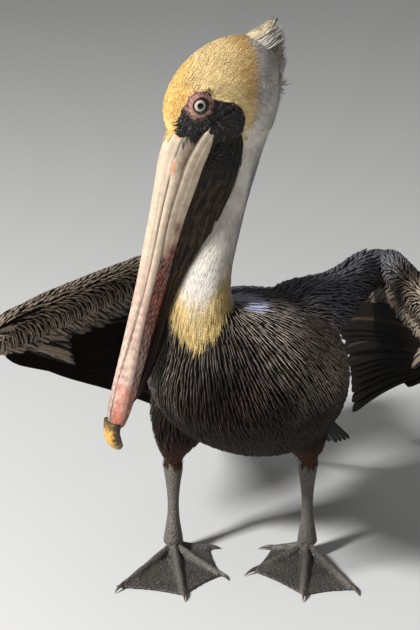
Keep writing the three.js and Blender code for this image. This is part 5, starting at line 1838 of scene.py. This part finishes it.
def make_crest(tree):
    """The crest: long soft wisps that rise from the crown's end and draw together to a point behind it,
    with a few dark ones along its top, and a mane of short ones that lie down the nape."""
    rng = np.random.default_rng(61)
    coat = Coat()
    rise = HEAD.rows[2]
    for n, share, dark in ((1100, (0, 1), False), (14, (0.3, 0.42), True)):
        u, side = rng.uniform(*share, size=n), rng.normal(size=n).clip(-1.6, 1.6)
        aside = (np.sign(side) * (5 + np.abs(side))) if dark else 6.5 * side
        at, normal = on_skin(tree, HEAD.at(mix(-24, -60, u), aside, mix(34, -6, u)))
        lock, flank = (np.floor(18 * u) + 0.5) / 18, np.round(1.3 * side)
        point = mix(-60, -70, ramp(lock, 0.1, 0.35)), 2.4 * flank, mix(47, 2, lock ** 1.4)
        if dark:
            point = np.full(n, -60.0), np.sign(side) * 3.6, np.full(n, 48.0)
        goal = HEAD.at(*point) + 0.6 * rng.normal(size=(n, 3))
        tip = at + (goal - at) * rng.uniform(0.95 if dark else 0.45, 1.0, size=(n, 1))
        middle = mix(at, tip, 0.5) - rise * mix(3.5, 1.0, u)[:, None] + normal * 0.5
        up = unit(0.5 * normal + rise * 0.8 + (-0.3, -0.5, 0))
        pale = layer(all_over("white", at), hue("crown"), 0.6 * (1 - ramp(u, 0.03, 0.22)))
        tone = hue("face") + 0 * at if dark else pale
        coat.add(vanes(at - normal, middle, tip, up, up, np.full(n, 0.9 if dark else 0.48), "lance",
                       (0.05, 0.3, 0.6, 0.85), 0.2),
                 (tone, tone, np.zeros(n)), np.stack([0.1 + 0.3 * u, 0.5 + 0.2 * side], 1), 0.75)
    n = 2200
    u, side = rng.uniform(size=n) ** 0.8, rng.normal(size=n).clip(-1.7, 1.7)
    at, normal = on_skin(tree, HEAD.at(-72, 6.5 * side, mix(24, -56, u)))
    down = unit(neck_flow(at) - normal * (neck_flow(at) * normal).sum(1, keepdims=True))
    sweep = (normal * mix(0.35, 0.06, ramp(u, 0.1, 0.6))[:, None]
             + mix(rise, down, ramp(u, 0.35, 0.7)[:, None]))
    sweep = unit(sweep + 0.08 * rng.normal(size=(n, 3)))
    long = (mix(11, 9, u) * (1 + 0.25 * rng.normal(size=n)).clip(0.5, 1.6))[:, None]
    middle = at + sweep * long * 0.5
    tip = middle + unit(sweep + (rise * 0.3 + normal * 0.4) * (1 - u)[:, None]) * long * 0.5
    pale = all_over("white", at)
    up = unit(normal + 0.25 * rise)
    coat.add(vanes(at - normal, middle, tip, up, up, mix(0.55, 0.8, u), "lance", (0.05, 0.35, 0.75), 0.2),
             (pale, pale, np.zeros(n)), np.stack([0.5 + 0.45 * u, 0.5 + 0.2 * side], 1), 0.75)
    coat.finish("crest_feathers", "crown", feather_material("crest_vane", 0.65, 0.5, 5.0), ["crest"])


# ---------------------------------------------------------------- stage


def make_stage():
    """A plain pale floor, two soft lamps and a camera that looks down on the bird from its front."""
    floor_at = place([(0, 0, 0)])[0][2]
    reach = 12.0
    mesh = bpy.data.meshes.new("floor")
    mesh.from_pydata([(-reach, -reach, floor_at), (reach, -reach, floor_at), (reach, reach, floor_at),
                      (-reach, reach, floor_at)], [], [(0, 1, 2, 3)])
    s = Shader("floor_paint", 0.9, Specular_IOR_Level=0.1)
    s.surface.inputs["Base Color"].default_value = (*hue("floor"), 1)
    mesh.materials.append(s.material)
    floor = bpy.data.objects.new("floor", mesh)
    bpy.context.scene.collection.objects.link(floor)

    world = bpy.data.worlds.new("soft_room")
    world.use_nodes = True
    world.node_tree.nodes["Background"].inputs["Color"].default_value = (1, 1, 1, 1)
    world.node_tree.nodes["Background"].inputs["Strength"].default_value = ROOM_LIGHT
    bpy.context.scene.world = world
    aim = place([LAMP_AIM])[0]
    for name, spot, power, across in LAMPS:
        lamp = bpy.data.lights.new(name, "AREA")
        lamp.energy = power
        lamp.size = across
        o = bpy.data.objects.new(name, lamp)
        o.location = tuple(aim + np.array(spot))
        o.rotation_euler = (-Vector(spot)).to_track_quat("-Z", "Y").to_euler()
        bpy.context.scene.collection.objects.link(o)

    camera = bpy.data.cameras.new("camera")
    camera.lens = CAMERA_LENS
    camera.sensor_width = CAMERA_SENSOR
    camera.clip_end = 100
    o = bpy.data.objects.new("camera", camera)
    down = math.radians(CAMERA_TILT)
    ahead, above = CAMERA_RANGE * math.cos(down), CAMERA_RANGE * math.sin(down)
    o.location = tuple(place([(CAMERA_ASIDE, -ahead, CAMERA_HEIGHT + above)])[0])
    o.rotation_euler = (math.pi / 2 - down, 0, 0)
    bpy.context.scene.collection.objects.link(o)
    bpy.context.scene.camera = o
    bpy.context.scene.view_settings.view_transform = "Standard"


# ---------------------------------------------------------------- add-on


class MakeSkin(Operator):
    """Makes the skin over the head, neck, trunk, arms, legs and webs."""

    bl_idname = "pelican.skin"
    bl_label = "Skin"

    def execute(self, context):
        make_skin()
        return {"FINISHED"}


class MakeBill(Operator):
    """Makes the two halves of the bill and the nail."""

    bl_idname = "pelican.bill"
    bl_label = "Bill"

    def execute(self, context):
        make_bill()
        return {"FINISHED"}


class MakePouch(Operator):
    """Makes the folded pouch."""

    bl_idname = "pelican.pouch"
    bl_label = "Pouch"

    def execute(self, context):
        make_pouch()
        return {"FINISHED"}


class MakeEyes(Operator):
    """Makes the eyeballs."""

    bl_idname = "pelican.eyes"
    bl_label = "Eyes"

    def execute(self, context):
        make_eyes()
        return {"FINISHED"}


class MakeClaws(Operator):
    """Makes the claws."""

    bl_idname = "pelican.claws"
    bl_label = "Claws"

    def execute(self, context):
        make_claws()
        return {"FINISHED"}


class MakeCoat(Operator):
    """Makes the feathers of the body, the neck and the head."""

    bl_idname = "pelican.coat"
    bl_label = "Body, neck and head feathers"

    def execute(self, context):
        tree = skin_tree()
        make_body_feathers(tree)
        make_neck_feathers(tree)
        make_head_feathers(tree)
        make_crest(tree)
        return {"FINISHED"}


class MakeWings(Operator):
    """Makes the flight feathers, coverts and scapulars of both wings."""

    bl_idname = "pelican.wings"
    bl_label = "Wing feathers"

    def execute(self, context):
        tree = skin_tree()
        for side in SIGN:
            make_flight_feathers(side)
            make_wing_coverts(tree, side)
        make_back_feathers(tree)
        return {"FINISHED"}


class MakeTail(Operator):
    """Makes the tail feathers."""

    bl_idname = "pelican.tail"
    bl_label = "Tail feathers"

    def execute(self, context):
        make_tail_feathers(skin_tree())
        return {"FINISHED"}


class MakeStage(Operator):
    """Makes the floor, the lamps and the camera."""

    bl_idname = "pelican.stage"
    bl_label = "Stage"

    def execute(self, context):
        make_stage()
        return {"FINISHED"}


OPERATORS = (MakeSkin, MakeBill, MakePouch, MakeEyes, MakeClaws, MakeCoat, MakeWings, MakeTail, MakeStage)


class PelicanPanel(Panel):
    """The pelican's settings and its makers, in the order that they run."""

    bl_idname = "VIEW3D_PT_pelican"
    bl_label = "Pelican"
    bl_space_type = "VIEW_3D"
    bl_region_type = "UI"
    bl_category = "Pelican"

    def draw(self, context):
        for group in (context.scene.pelican_sizes, context.scene.pelican_colours):
            box = self.layout.box()
            for key in group.__annotations__:
                box.prop(group, key)
        for operator in OPERATORS:
            self.layout.operator(operator.bl_idname)


CLASSES = (PelicanSizes, PelicanColours, *OPERATORS, PelicanPanel)


def register():
    for c in CLASSES:
        bpy.utils.register_class(c)
    bpy.types.Scene.pelican_sizes = PointerProperty(type=PelicanSizes)
    bpy.types.Scene.pelican_colours = PointerProperty(type=PelicanColours)


def unregister():
    del bpy.types.Scene.pelican_colours
    del bpy.types.Scene.pelican_sizes
    for c in reversed(CLASSES):
        bpy.utils.unregister_class(c)


def main():
    register()
    for operator in OPERATORS:
        family, name = operator.bl_idname.split(".")
        getattr(getattr(bpy.ops, family), name)()


if __name__ == "__main__":
    main()
